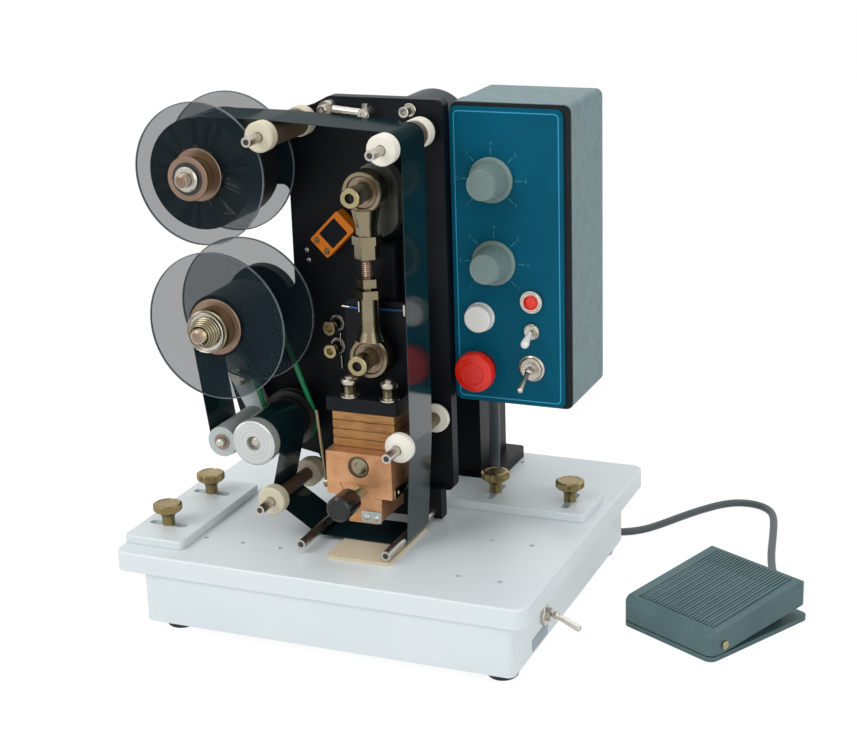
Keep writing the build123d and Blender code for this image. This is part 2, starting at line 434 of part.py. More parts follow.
def make_head():
    """Carriage on its slide way, layered insulation, heater block and the type holder under it."""
    guide_body = box(HEAD_MID - 22, HEAD_MID + 22, SLIDE_Y1 + 1, WALL_Y0, 144, 268)
    guide_body += way(WAY_W / 2, WAY_NECK / 2, 144, 268)
    foot_bar = box(FOOT_BAR_X0, FOOT_BAR_X1, WALL_Y0 - FOOT_BAR_T, WALL_Y0, FOOT_BAR_Z0, FOOT_BAR_Z1)
    parts["head_guide"] = group([guide_body, foot_bar])
    slide = box(HEAD_X0, HEAD_X1, SLIDE_Y0, SLIDE_Y1, SHELF_Z0, CARRIAGE_TOP)
    slide = soften(slide, [(HEAD_X0, CARRIAGE_TOP, 6), (HEAD_X1, CARRIAGE_TOP, 6)])
    shelf = box(HEAD_X0 - 3, HEAD_X1 + 0.5, SHELF_Y0 - 2, SLIDE_Y1, SHELF_Z0, SHELF_Z1)
    slot = way(WAY_W / 2 + WAY_GAP, WAY_NECK / 2 + WAY_GAP, SHELF_Z0 - 1, CARRIAGE_TOP + 1)
    slot += box(HEAD_MID - WAY_W / 2 - WAY_GAP, HEAD_MID + WAY_W / 2 + WAY_GAP, SLIDE_Y0 + 3.6,
                SLIDE_Y0 + 10.4, SHELF_Z0 - 1, CARRIAGE_TOP + 1)
    parts["head_carriage"] = slide + shelf - slot
    height = (SHELF_Z0 - BOARD_Z0) / BOARD_COUNT
    board_x = (HEAD_X0 + 2, HEAD_X1 - 2)
    stack = box(*board_x, BOARD_Y0 + 1, BOARD_Y1 - 1, BOARD_Z0, SHELF_Z0)
    for i in range(BOARD_COUNT):
        z0 = BOARD_Z0 + i * height
        stack += box(board_x[0] - 0.6, board_x[1] + 0.6, BOARD_Y0, BOARD_Y1, z0 + 0.5, z0 + height - 0.5)
    parts["insulation_block"] = stack
    heater = box(HEAD_X0, HEAD_X1, HEATER_Y0, HEATER_Y1, HEATER_Z0, HEATER_Z1)
    heater -= dovetail(TAIL_X0 - 0.3, TAIL_X1 + 0.3, TAIL_NECK, HEATER_Y0 - 1, HEATER_Y1 + 1,
                       HEATER_Z0 - 0.05, TAIL_TOP + 0.3)
    heater -= rod_y(HEAD_MID, 119, 8, HEATER_Y0 - 1, HEATER_Y0 + 2)
    heater += rod_y(HEAD_MID, 119, 6.4, HEATER_Y0 + 0.6, HEATER_Y0 + 2.5)
    parts["heater_block"] = heater
    screw = [(r, SHELF_Z1 + z) for r, z in ((0, 0), (7.2, 0), (7.2, 1.5), (4.6, 1.5), (4.6, 8), (6.2, 8),
                                            (6.2, 14), (3, 14), (3, 12), (0, 12))]
    parts["levelling_screws"] = group([turned_up(x, y, screw) for x, y in LEVELLERS])


def make_type_holder():
    """The holder slides in the heater's dovetail and is drawn out by its sprung black handle."""
    y0 = HEATER_Y0 + 0.5
    holder = dovetail(TAIL_X0, TAIL_X1, TAIL_NECK, y0, HOLDER_Y1, HEATER_Z0 - 0.4, TAIL_TOP)
    holder += box(HOLDER_X0, HOLDER_X1, y0, HOLDER_Y1, HOLDER_Z0 + 4, HEATER_Z0 - 0.4)
    holder += box(HOLDER_X0 + 5, HOLDER_X1 - 5, y0 + 3, HOLDER_Y1 - 3, HOLDER_Z0, HOLDER_Z0 + 5)
    parts["type_holder"] = holder
    grip = [(0, HANDLE_Y0), (HANDLE_R - 1.5, HANDLE_Y0), (HANDLE_R, HANDLE_Y0 + 1.5), (HANDLE_R, HANDLE_Y1 - 1),
            (HANDLE_R - 1, HANDLE_Y1), (2.2, HANDLE_Y1), (2.2, y0), (0, y0)]
    parts["type_handle"] = turned(HANDLE_X, HANDLE_Z, grip)


def knob(x, z):
    """A control knob: skirt, fluted body and a flat cap."""
    profile = [(0, FRONT - 0.5), (KNOB_SKIRT_R, FRONT - 0.5), (KNOB_SKIRT_R, FRONT - 2.5),
               (KNOB_SKIRT_R - 1, FRONT - 3.5), (KNOB_BODY_R + 1.2, FRONT - 4.5),
               (KNOB_BODY_R, FRONT - KNOB_H + 1), (KNOB_BODY_R - 1, FRONT - KNOB_H), (0, FRONT - KNOB_H)]
    body = turned(x, z, profile)
    for i in range(KNOB_FLUTES):
        a = 2 * pi * i / KNOB_FLUTES
        reach = KNOB_BODY_R + 1
        body -= rod_y(x + reach * cos(a), z + reach * sin(a), FLUTE_R, FRONT - KNOB_H - 1, FRONT - 5.5)
    return body


def make_control_box():
    """Painted case, blue front panel and everything on it."""
    case = box(CB_X0, CB_X1, CB_Y0, CB_Y1, CB_Z0, CB_Z1)
    case = fillet(case.edges().filter_by(Axis.Y), CB_R)
    case = fillet(case.faces().sort_by(Axis.Y)[-1].edges(), 2)
    case += box(COL_X1, CB_X0 + 4, CB_Y1 - 8, CB_Y1 - 3, 200, 300)
    panel = box(CB_X0, CB_X1 - PANEL_GAP, FRONT, CB_Y0, CB_Z0 + 1, CB_Z1 - 3)
    panel = fillet(panel.edges().filter_by(Axis.Y), PANEL_R)
    bore = rod_y(STOP_X, STOP_Z, STOP_STEM_R + RUN_GAP, FRONT - 1, CB_Y0 + STOP_TRAVEL + 1)
    parts["control_box"] = case - bore
    parts["control_panel"] = panel - bore
    for name, (x, z) in KNOBS.items():
        parts[name] = knob(x, z)
    parts["switch_collars"] = group([
        turned(POWER_X, POWER_Z, [(0, FRONT), (9.5, FRONT), (9.5, FRONT - 1.2), (7.6, FRONT - 1.2),
                                  (7.6, FRONT - 3), (4.8, FRONT - 3), (4.8, FRONT - 6), (0, FRONT - 6)]),
        turned(MODE_X, MODE_Z, [(0, FRONT), (5.6, FRONT), (5.6, FRONT - 2), (3.6, FRONT - 2),
                                (3.6, FRONT - 4), (0, FRONT - 4)]),
        ring_y(LAMP_X, LAMP_Z, 8, 5.4, FRONT - 4, FRONT), ring_y(STOP_X, STOP_Z, 12.5, 10, FRONT - 2, FRONT),
        Pos(BOX_X1, SIDE_Y, SIDE_Z) * Rot(0, 0, 90) * turned(0, 0, [(0, 0), (8, 0), (8, -2), (4.8, -2),
                                                                    (4.8, -6), (0, -6)])])
    lamp = turned(LAMP_X, LAMP_Z, [(0, FRONT), (5.4, FRONT), (5.4, FRONT - 5), (4, FRONT - 7.5),
                                   (0, FRONT - 8)])
    fuse = turned(FUSE_X, FUSE_Z, [(0, FRONT), (11.4, FRONT), (11.4, FRONT - 1.5), (10, FRONT - 2.5),
                                   (9.2, FRONT - 13), (8.4, FRONT - 14), (0, FRONT - 14)])
    parts["panel_fittings"] = group([lamp, fuse])
    button = turned(STOP_X, STOP_Z, [(0, FRONT - 0.5), (STOP_STEM_R, FRONT - 0.5), (STOP_STEM_R, FRONT - 8),
                                     (STOP_R, FRONT - 8), (STOP_R, FRONT - 13), (STOP_R - 2, FRONT - 16),
                                     (0, FRONT - 17)])
    parts["stop_button"] = button


def lever(place, r, length):
    """A toggle lever: ball, pivot pin along X, tapered stem and a round tip."""
    stem = Pos(0, 0, length / 2) * Cone(r * 0.75, r, length)
    pin = Rot(0, 90, 0) * Cylinder(r * 0.6, r * 2.6)
    stem += Pos(0, 0, length) * Sphere(r)
    return place * (Sphere(r * 1.15) + pin + Rot(90 + TOGGLE_TILT, 0, 0) * stem)


def make_toggles():
    for name, x, z, r, length in (("power_toggle", POWER_X, POWER_Z, 2.2, 19),
                                  ("mode_toggle", MODE_X, MODE_Z, 1.7, 11)):
        parts[name] = lever(Pos(x, FRONT - TOGGLE_OUT[name] - r * 1.15, z), r, length)
    parts["side_toggle"] = lever(Pos(BOX_X1 + 9, SIDE_Y, SIDE_Z) * Rot(0, 0, 90), 2.4, 17)


def make_tie_rod():
    """Short round bar across the top of the upright: eye and screw at its left, cross screw at its right."""
    y = WALL_Y0 - 7
    bar = Pos(-15, y, 356.3) * Rot(0, 94.5, 0) * Cylinder(2.9, 28)
    eye = rod_y(-30, 357.6, 5.4, y - 4, WALL_Y0) + rod_y(-30, 357.6, 3.4, y - 7, y - 4)
    cross = rod_y(0, 355, 4.4, y - 6, WALL_Y0) + Pos(0, y - 2, 356) * Cylinder(2.2, 12)
    parts["tie_rod"] = bar + eye + cross


def make_sensor():
    """The square position sensor that watches the crank, set at an angle."""
    place = Pos(-29.4, WALL_Y0 - 5, 268.2) * Rot(0, -45, 0)
    body = fillet((place * Box(31, 10, 18.6)).edges().filter_by(Axis.Y), 1.5)
    parts["position_sensor"] = body


def make_ribbon():
    """The ribbon's two stretches: over the guides to the nip, and round the pinch roller back."""
    stops = [(SUPPLY_X, SUPPLY_Z, ROLL_R, -1)]
    stops += [(*GUIDES[name][:3], -1) for name in ("upper_left", "upper_right", "lower_right")]
    stops += [(x, z, ROD_R, -1) for x, z in RODS[::-1]]
    stops += [(*GUIDES["lower_left"][:3], -1), (FEED_X, FEED_Z, FEED_R, 1), (PINCH_X, PINCH_Z, PINCH_R, -1),
              (TAKEUP_X, TAKEUP_Z, WOUND_R, -1)]
    path = wrap([(x, z, r + RIBBON_LIFT, side) for x, z, r, side in stops], RIBBON_Y0)
    nip = len(path) - 3
    for name, edges in (("foil_web", path[:nip]), ("foil_return", path[nip:])):
        flat = [edge.moved(Location((0, -RIBBON_Y0, 0))).rotate(Axis.X, -90) for edge in edges]
        band = extrude(trace(flat, RIBBON_T), amount=RIBBON_Y1 - RIBBON_Y0)
        parts[name] = Pos(0, RIBBON_Y1, 0) * Rot(90, 0, 0) * band


def pedal_place(shape):
    return Pos(PEDAL_X, PEDAL_Y, 0) * Rot(0, 0, PEDAL_TURN) * shape


def pedal_prism(profile, x0, x1):
    """A prism across the pedal from (y, z) points of its side."""
    face = make_face(Polyline(*[(x0, y, z) for y, z in profile], close=True).edges())
    return extrude(face, amount=x1 - x0, dir=(1, 0, 0))


def pin_bore(x0, x1, r):
    return Pos((x0 + x1) / 2, PIN_Y, PIN_Z) * Rot(0, 90, 0) * Cylinder(r, x1 - x0)


def make_pedal():
    """Foot switch: a tray with two ears, a ribbed treadle hinged on brass pins, and its spring box."""
    inset = PEDAL_WALL + 0.6
    tray = fillet(vertical_edges(box(0, PEDAL_W, 0, TRAY_L, 0, TRAY_T)), PEDAL_R)
    rim = fillet(vertical_edges(box(10, PEDAL_W - 10, 30, 86, TRAY_T, 10)), 3)
    ears = [box(x, x + 3, 5, 21, TRAY_T, 14) for x in (inset, PEDAL_W - inset - 3)]
    base = tray + rim + ears[0] + ears[1] - pin_bore(-1, PEDAL_W + 1, PIN_R + RUN_GAP)
    parts["pedal_base"] = pedal_place(base)
    shell = pedal_prism(PEDAL_SIDE, 0, PEDAL_W)
    shell = fillet(shell.edges().filter_by(Axis.Z), PEDAL_R)
    shell = fillet(shell.edges().group_by(Axis.Z)[-1], 2)
    w = PEDAL_WALL
    inner = [(w, 0), (PEDAL_L - w, 0), (PEDAL_L - w, 26.5), (92, 30 - w / 2), (8, 20.5 - w), (w, 15.5)]
    shell -= pedal_prism(inner, w, PEDAL_W - w)
    shell -= pin_bore(-1, PEDAL_W + 1, PIN_R + 0.2)
    slope = atan2(32.5 - 21.0, 93.0 - 7.0)
    pitch = (PEDAL_W - 16) / (RIB_COUNT - 1)
    length = (RIB_Y1 - RIB_Y0) / cos(slope)
    middle = (RIB_Y0 + RIB_Y1) / 2
    for i in range(RIB_COUNT):
        rib = Box(RIB_W, length, RIB_H + 1)
        z = 21.0 + (middle - 7.0) * tan(slope)
        shell += Pos(8 + i * pitch, middle, z + (RIB_H - 1) / 2) * Rot(degrees(slope), 0, 0) * rib
    parts["pedal_cover"] = pedal_place(shell)
    pins = [pin_bore(-1.2, inset + 3, PIN_R), pin_bore(PEDAL_W - inset - 3, PEDAL_W + 1.2, PIN_R)]
    parts["pedal_pins"] = group([pedal_place(pin) for pin in pins])
    parts["pedal_gland"] = pedal_place(box(37, 47, TRAY_L, TRAY_L + 5, 0.2, 8))


def tube(points, r):
    """A round cord along straight runs joined by tangent arcs."""
    vectors = [Vector(*p) for p in points]
    radii = []
    for before, here, after in zip(vectors, vectors[1:], vectors[2:]):
        turn = (here - before).get_angle(after - here)
        shorter = min((here - before).length, (after - here).length)
        radii.append(0.45 * shorter / tan(radians(turn) / 2))
    print("cord radii", [round(v, 1) for v in radii])
    path = FilletPolyline(*points, radius=radii)
    start = Plane(origin=points[0], z_dir=vectors[1] - vectors[0])
    solid = sweep(start * Circle(r), path=path)
    ratio = solid.volume / (pi * r ** 2 * path.length)
    print("cord length", round(path.length, 1), "volume ratio", round(ratio, 4))
    return solid


def make_cord():
    """The lead down the column, the gland at the back, the hidden coil and both stretches of the cord."""
    parts["control_lead"] = tube(LEAD_ROUTE, LEAD_R)
    parts["cord_gland"] = rod_y(GLAND_X, GLAND_Z, GLAND_R, BOX_Y1, BOX_Y1 + GLAND_L)
    cord_parts["cord_coil"] = Pos(COIL_X, COIL_Y, COIL_LIFT) * Torus(COIL_R, COIL_SECTION_R)
    cord_parts["cord_near"] = tube(NEAR_ROUTE, CORD_R)
    cord_parts["cord_far"] = tube([(x, y, CORD_LIFT) for x, y in FAR_ROUTE], CORD_R)


def main():
    make_base()
    make_guides()
    make_upright()
    make_spindles()
    make_reels()
    make_feed()
    make_guide_rollers()
    make_drive()
    make_head()
    make_type_holder()
    make_control_box()
    make_toggles()
    make_tie_rod()
    make_sensor()
    make_ribbon()
    make_pedal()
    make_cord()
    os.makedirs("parts", exist_ok=True)
    whole = group(parts.values()).bounding_box()
    shift = Vector(-(whole.min.X + whole.max.X) / 2, -(whole.min.Y + whole.max.Y) / 2, 0)
    print("shift", shift)
    for name, shape in {**parts, **cord_parts}.items():
        export_step(group([shape]).translate(shift), "parts/" + name + ".step")


main()
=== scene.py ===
"""Looks of the date coding machine: a ribbon hot-stamp coder with its foot switch."""

import json
import logging
from dataclasses import dataclass
from enum import Enum
from math import cos, pi, radians, sin, tan
from typing import Mapping, Sequence

import bmesh
import bpy
from mathutils import Matrix, Vector

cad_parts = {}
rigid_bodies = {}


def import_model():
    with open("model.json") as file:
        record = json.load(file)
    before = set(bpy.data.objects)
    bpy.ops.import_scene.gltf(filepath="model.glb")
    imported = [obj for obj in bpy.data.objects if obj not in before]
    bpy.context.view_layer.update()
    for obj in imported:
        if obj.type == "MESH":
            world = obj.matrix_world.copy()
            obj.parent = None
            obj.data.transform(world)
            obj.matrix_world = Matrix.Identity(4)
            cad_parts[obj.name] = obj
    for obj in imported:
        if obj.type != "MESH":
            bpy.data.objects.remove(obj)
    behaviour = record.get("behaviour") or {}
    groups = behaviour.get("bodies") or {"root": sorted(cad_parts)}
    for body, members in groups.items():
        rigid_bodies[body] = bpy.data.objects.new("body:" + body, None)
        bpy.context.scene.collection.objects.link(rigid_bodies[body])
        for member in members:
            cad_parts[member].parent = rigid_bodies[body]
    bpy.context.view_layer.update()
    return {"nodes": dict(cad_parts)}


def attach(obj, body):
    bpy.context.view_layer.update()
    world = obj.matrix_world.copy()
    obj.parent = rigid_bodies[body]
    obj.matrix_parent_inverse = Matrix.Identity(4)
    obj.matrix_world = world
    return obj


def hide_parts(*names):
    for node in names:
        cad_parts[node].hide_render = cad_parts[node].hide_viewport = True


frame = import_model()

LOG = logging.getLogger("date_coder")
SHIFT = Vector((-74.9696, -138.5, 0.0))
TO_ROW = Matrix.Scale(0.001, 4) @ Matrix.Translation(SHIFT)
UP, BACK, FORWARD, RIGHT = Vector((0, 0, 1)), Vector((0, 1, 0)), Vector((0, -1, 0)), Vector((1, 0, 0))
Point = Sequence[float]


def at(x: float, y: float, z: float) -> Vector:
    """A point of the machine, given in its own millimetres, in the row frame."""
    return TO_ROW @ Vector((x, y, z))


def linear(colour: str) -> tuple[float, float, float, float]:
    """Turns an sRGB hex colour into a linear one.

    Args:
        colour: Six hex digits.

    Returns:
        Red, green, blue and an alpha of 1.
    """
    parts = [int(colour[i:i + 2], 16) / 255 for i in (0, 2, 4)]
    red, green, blue = [c / 12.92 if c <= 0.04045 else ((c + 0.055) / 1.055) ** 2.4 for c in parts]
    return red, green, blue, 1.0


def add_node(tree: bpy.types.NodeTree, kind: str, inputs: Mapping[str, object] | None = None,
             **settings: object) -> bpy.types.Node:
    """Adds a shader node with its settings and inputs.

    Args:
        tree: The material's or world's node tree.
        kind: The node's type name.
        inputs: Values or output sockets, by input name or number.
        **settings: Properties of the node itself.

    Returns:
        The new node.
    """
    node = tree.nodes.new(kind)
    for name, value in settings.items():
        setattr(node, name, value)
    for name, value in (inputs or {}).items():
        if isinstance(value, bpy.types.NodeSocket):
            tree.links.new(value, node.inputs[name])
        else:
            node.inputs[name].default_value = value
    return node


class Grain(Enum):
    """How the fine pattern of a surface runs."""

    EVEN = "even"
    HAMMERED = "hammered"
    ALONG_X = "along x"
    ALONG_Y = "along y"
    ALONG_Z = "along z"
    LAYERS = "layers"
    RINGS_Y = "rings about y"


STRETCH = {Grain.ALONG_X: (0.04, 1, 1), Grain.ALONG_Y: (1, 0.04, 1), Grain.ALONG_Z: (1, 1, 0.04),
           Grain.LAYERS: (0.08, 0.08, 1)}


@dataclass(frozen=True)
class Finish:
    """A procedural surface: two colours that drift, a fine grain and its relief.

    The grain is worked out from its real size in millimetres.
    """

    name: str
    colour: str
    drift: str
    roughness: float
    metallic: float = 0.0
    grain: Grain = Grain.EVEN
    grain_mm: float = 1.0
    relief_mm: float = 0.02
    drift_mm: float = 40.0
    streak: float = 0.35
    spread: float = 0.12
    specular: float = 0.5
    coat: float = 0.0
    alpha: float = 1.0
    centre: tuple[float, float, float] = (0.0, 0.0, 0.0)
    matt_above: float = 0.0

    def material(self) -> bpy.types.Material:
        """Makes the material, or gives the one already made.

        Returns:
            The material under this finish's name.
        """
        made = bpy.data.materials.get(self.name)
        if made:
            return made
        made = bpy.data.materials.new(self.name)
        made.use_nodes = True
        tree = made.node_tree
        tree.nodes.clear()
        coords = add_node(tree, "ShaderNodeTexCoord").outputs["Object"]
        fine = self.fine_pattern(tree, coords)
        slow = add_node(tree, "ShaderNodeTexNoise", {"Vector": coords, "Scale": 1000 / self.drift_mm,
                                                     "Detail": 3.0, "Roughness": 0.6}).outputs["Fac"]
        blend = add_node(tree, "ShaderNodeMath", {0: fine, 1: self.streak, 2: slow},
                         operation="MULTIPLY_ADD").outputs[0]
        ramp = add_node(tree, "ShaderNodeValToRGB", {"Fac": blend})
        ramp.color_ramp.elements[0].position = 0.3 + self.streak * 0.3
        ramp.color_ramp.elements[1].position = 0.7 + self.streak * 0.7
        ramp.color_ramp.elements[0].color = linear(self.colour)
        ramp.color_ramp.elements[1].color = linear(self.drift)
        rough = add_node(tree, "ShaderNodeMapRange", {
            "Value": fine, "To Min": max(self.roughness - self.spread / 2, 0.03),
            "To Max": min(self.roughness + self.spread / 2, 1.0)}).outputs["Result"]
        bump = add_node(tree, "ShaderNodeBump", {"Height": fine, "Strength": 0.6,
                                                 "Distance": self.relief_mm / 1000}).outputs["Normal"]
        shader = add_node(tree, "ShaderNodeBsdfPrincipled", {
            "Base Color": ramp.outputs["Color"], "Roughness": rough, "Metallic": self.metallic,
            "Normal": bump, "Coat Weight": self.coat, "Coat Roughness": 0.08,
            "Specular IOR Level": self.specular, "Alpha": self.alpha})
        if self.matt_above:
            height = add_node(tree, "ShaderNodeSeparateXYZ", {0: coords}).outputs["Z"]
            gloss = add_node(tree, "ShaderNodeMapRange", {
                "Value": height, "From Min": (self.matt_above - 25) / 1000,
                "From Max": self.matt_above / 1000,
                "To Min": self.specular, "To Max": 0.006}).outputs["Result"]
            tree.links.new(gloss, shader.inputs["Specular IOR Level"])
        add_node(tree, "ShaderNodeOutputMaterial", {"Surface": shader.outputs[0]})
        return made

    def fine_pattern(self, tree: bpy.types.NodeTree,
                     coords: bpy.types.NodeSocket) -> bpy.types.NodeSocket:
        """Adds the nodes of the fine grain.

        Args:
            tree: The material's node tree.
            coords: Object coordinates.

        Returns:
            The grain's height, from 0 to 1.
        """
        scale = 1000 / self.grain_mm
        if self.grain is Grain.HAMMERED:
            cells = add_node(tree, "ShaderNodeTexVoronoi", {"Vector": coords, "Scale": scale,
                                                            "Smoothness": 1.0}, feature="SMOOTH_F1")
            return cells.outputs["Distance"]
        if self.grain is Grain.RINGS_Y:
            centred = add_node(tree, "ShaderNodeMapping", {"Vector": coords,
                                                           "Location": tuple(-v for v in self.centre)})
            rings = add_node(tree, "ShaderNodeTexWave", {
                "Vector": centred.outputs[0], "Scale": scale / (2 * pi), "Distortion": 0.0,
                "Detail": 0.0}, wave_type="RINGS", rings_direction="Y")
            return rings.outputs["Fac"]
        stretch = add_node(tree, "ShaderNodeMapping", {"Vector": coords,
                                                       "Scale": STRETCH.get(self.grain, (1, 1, 1))})
        noise = add_node(tree, "ShaderNodeTexNoise", {"Vector": stretch.outputs[0], "Scale": scale,
                                                      "Detail": 4.0, "Roughness": 0.55})
        return noise.outputs["Fac"]


def rings(name: str, base: "Finish", x: float, z: float, grain_mm: float = 2.4) -> Finish:
    """A turned version of a finish, with its lathe rings about an axis along Y.

    Args:
        name: The new finish's name.
        base: The finish that gives the colours.
        x: The axis in machine millimetres.
        z: The axis in machine millimetres.
        grain_mm: From one ring to the next.

    Returns:
        The finish.
    """
    values = {**base.__dict__, "name": name, "grain": Grain.RINGS_Y, "centre": tuple(at(x, 0, z)),
              "grain_mm": grain_mm, "relief_mm": 0.002}
    return Finish(**values)


# Gloss powder coat on sheet steel: near white, a faint blue cast, an orange peel that bends highlights.
WHITE_COAT = Finish("white_powder_coat", "D9E2E5", "DDE5E8", 0.34, grain_mm=1.6, relief_mm=0.03, streak=0.1)
# Satin black paint over machined plate: blue-black, edges catch a broad soft light.
BLACK_PAINT = Finish("satin_black_paint", "070A10", "0D1218", 0.46, grain_mm=0.9, relief_mm=0.02,
                     specular=0.18)
# Hammered enamel on pressed steel: mid grey with fine dimples that sparkle.
HAMMERED = Finish("hammered_grey_enamel", "62787B", "738A8D", 0.45, grain=Grain.HAMMERED, grain_mm=1.5,
                  relief_mm=0.1, streak=0.8, drift_mm=9.0, specular=0.15)
# Screen-printed polyester film on the front panel: deep even blue with a satin face.
BLUE_FILM = Finish("blue_panel_film", "005068", "005A74", 0.45, grain_mm=0.8, relief_mm=0.006, streak=0.2,
                   specular=0.08)
LINE_INK = Finish("pale_blue_ink", "1F8FB4", "2A9CC0", 0.45, grain_mm=0.8, relief_mm=0.003)
TICK_INK = Finish("teal_scale_ink", "1C6F7A", "267E88", 0.45, grain_mm=0.8, relief_mm=0.003)
# Ground and turned steel: neutral grey, fine lines across the light.
STEEL = Finish("turned_steel", "746B57", "988E75", 0.24, metallic=1.0, grain=Grain.ALONG_X, grain_mm=0.5,
               relief_mm=0.015)
CHROME = Finish("nickel_plate", "B2ACA1", "D0CBC2", 0.28, metallic=1.0, grain_mm=2.0, relief_mm=0.01)
ALUMINIUM = Finish("turned_aluminium", "B9BAB8", "D3D4D2", 0.34, metallic=1.0, grain=Grain.ALONG_Z,
                   grain_mm=0.5, relief_mm=0.02)
# Knurled yellow brass: warm, a little dull in the grooves.
BRASS = Finish("knurled_brass", "85744D", "AE9C70", 0.28, metallic=1.0, grain_mm=0.8, relief_mm=0.02)
# Milled copper alloy block: orange-brown with cutter lines.
COPPER = Finish("milled_copper_alloy", "B47C52", "DBA97E", 0.42, metallic=0.6, grain=Grain.ALONG_X,
                grain_mm=0.7, relief_mm=0.03, drift_mm=14)
# Resin-bonded paper board: brown layers on edge.
LAMINATE = Finish("layered_resin_board", "70461F", "A97B45", 0.62, grain=Grain.LAYERS, grain_mm=1.1,
                  relief_mm=0.08, streak=0.9, drift_mm=18)
# Moulded nylon: off-white, waxy, slightly warm.
NYLON = Finish("moulded_nylon", "E2DED0", "F0ECE0", 0.45, grain_mm=1.0, relief_mm=0.01, streak=0.15)
# Clear acrylic sheet: a grey-violet veil with polished faces.
ACRYLIC = Finish("clear_acrylic", "11232A", "162A32", 0.08, grain_mm=6.0, relief_mm=0.002, alpha=0.43,
                 spread=0.03, specular=0.15)
# Coated stamping ribbon: black with a mirror-like face, and matt on the upper stretch as in the photo.
RIBBON = Finish("coated_ribbon", "0A2025", "11292E", 0.13, grain=Grain.ALONG_Y, grain_mm=1.5,
                relief_mm=0.005, spread=0.05, specular=0.7, matt_above=335.0)
WOUND = Finish("wound_ribbon_edge", "0A0D10", "14181C", 0.5, grain_mm=0.7, relief_mm=0.01, streak=0.3)
# Turned black grip of the type holder: polished, nearly black.
GRIP = Finish("polished_black_grip", "08090B", "111316", 0.2, grain_mm=1.4, relief_mm=0.008, specular=0.45)
RUBBER = Finish("moulded_rubber", "16181A", "212427", 0.62, grain_mm=0.6, relief_mm=0.02, specular=0.35)
BELT = Finish("green_round_belt", "0C8A50", "169C60", 0.35, grain_mm=1.0, relief_mm=0.01)
# Silicone pad: buff, dry and matt.
SILICONE = Finish("silicone_pad", "CDBFA3", "DACDB4", 0.7, grain_mm=0.8, relief_mm=0.02)
ORANGE = Finish("orange_sensor_case", "F07A06", "F68C18", 0.45, grain_mm=0.7, relief_mm=0.015, streak=0.2,
                specular=0.3)
KNOB_GREY = Finish("grey_moulded_knob", "6E8583", "809692", 0.46, grain_mm=0.6, relief_mm=0.02, streak=0.2)
WHITE_PLASTIC = Finish("white_moulded_plastic", "E6E6E0", "F2F2EE", 0.33, grain_mm=1.0, relief_mm=0.008,
                       streak=0.15)
RED_PLASTIC = Finish("red_moulded_plastic", "DE1C06", "EA280F", 0.34, grain_mm=1.2, relief_mm=0.01,
                     streak=0.2, coat=0.1)
# Textured grey-green paint on a cast foot switch.
PEDAL_PAINT = Finish("cast_pedal_paint", "425C5F", "567072", 0.5, grain=Grain.HAMMERED, grain_mm=1.3,
                     relief_mm=0.1, streak=0.4, specular=0.35)
MOTOR_PAINT = Finish("dark_green_motor_paint", "0B1E20", "142C2E", 0.45, grain_mm=1.2, relief_mm=0.03,
                     specular=0.25)
CORD_GREY = Finish("grey_cord_sleeve", "3F484A", "4D5658", 0.45, grain_mm=1.5, relief_mm=0.01, streak=0.2)
LEAD_GREY = Finish("dark_lead_sleeve", "34383B", "444A4D", 0.45, grain_mm=1.5, relief_mm=0.01)
# Yellow-passivated steel of bolts and springs: warm grey, a faint brass cast.
WARM_STEEL = Finish("yellow_passivated_steel", "8E8262", "B3A680", 0.24, metallic=1.0, grain_mm=0.8,
                    relief_mm=0.015)
DARK_STEEL = Finish("blackened_steel", "3A3A3C", "56554F", 0.4, metallic=0.9, grain_mm=0.7, relief_mm=0.02)
# Cut and polished edge of the clear sheet: a thin darker line of painted shade, standing in for the light
# that the edge bends away.
DISC_EDGE_SHADE = Finish("acrylic_edge_painted_shade", "4B555C", "7D878D", 0.15, grain_mm=2.0, relief_mm=0.004,
                   alpha=0.85)
# Sintered bronze washer: brown, dull, a warm sheen.
BRONZE = Finish("sintered_bronze", "7C6455", "A28B7A", 0.34, metallic=0.9, grain_mm=0.6, relief_mm=0.02)
# Matt light-grey rubber-coated alloy of the pinch roller.
PALE_GREY = Finish("satin_grey_alloy", "A9B2B1", "BCC4C3", 0.5, metallic=0.35, grain_mm=0.7, relief_mm=0.015)
# Brown phenolic sleeve, dull and slightly mottled.
SLEEVE = Finish("brown_phenolic_sleeve", "4B3F33", "63533F", 0.5, grain_mm=0.9, relief_mm=0.02)
CREAM = Finish("aged_nylon", "CBC2A8", "D8D0B9", 0.5, grain_mm=1.0, relief_mm=0.01, streak=0.15)
# Soft black foam gasket behind the panel.
GASKET = Finish("black_foam_gasket", "0A0F12", "131A1D", 0.7, grain_mm=0.9, relief_mm=0.04, specular=0.3)
BLUE_WIRE = Finish("blue_lead_sleeve", "0F3F77", "15528F", 0.45, grain_mm=1.5, relief_mm=0.01)
BARE_PLATE = Finish("bare_side_plate", "8796A0", "98A6AE", 0.4, metallic=0.5, grain_mm=0.8,
                    relief_mm=0.01)
BLACK_FILM = Finish("black_sensor_film", "090A10", "12141C", 0.5, grain_mm=0.8, relief_mm=0.01,
                    specular=0.15)
# Crank web milled across its face: dark grey with visible cutter lines.
MILLED_WEB = Finish("milled_steel_web", "4C4D48", "77776F", 0.42, metallic=0.9, grain=Grain.ALONG_Z,
                    grain_mm=0.6, relief_mm=0.04, streak=0.8)

SUPPLY_AXIS, TAKEUP_AXIS = (-101.0, 319.6), (-95.5, 211.2)
FEED_AXIS, PINCH_AXIS = (-67.2, 129.7), (-95.4, 126.0)
WOUND_SUPPLY = rings("wound_supply_ribbon", WOUND, *SUPPLY_AXIS)
WOUND_TAKEUP = rings("wound_takeup_ribbon", WOUND, *TAKEUP_AXIS)
TURNED_KNOB = rings("turned_knob_face", Finish("turned_knob_face", "BFC4C2", "D2D6D4", 0.4, metallic=0.6),
                    *FEED_AXIS, 1.5)

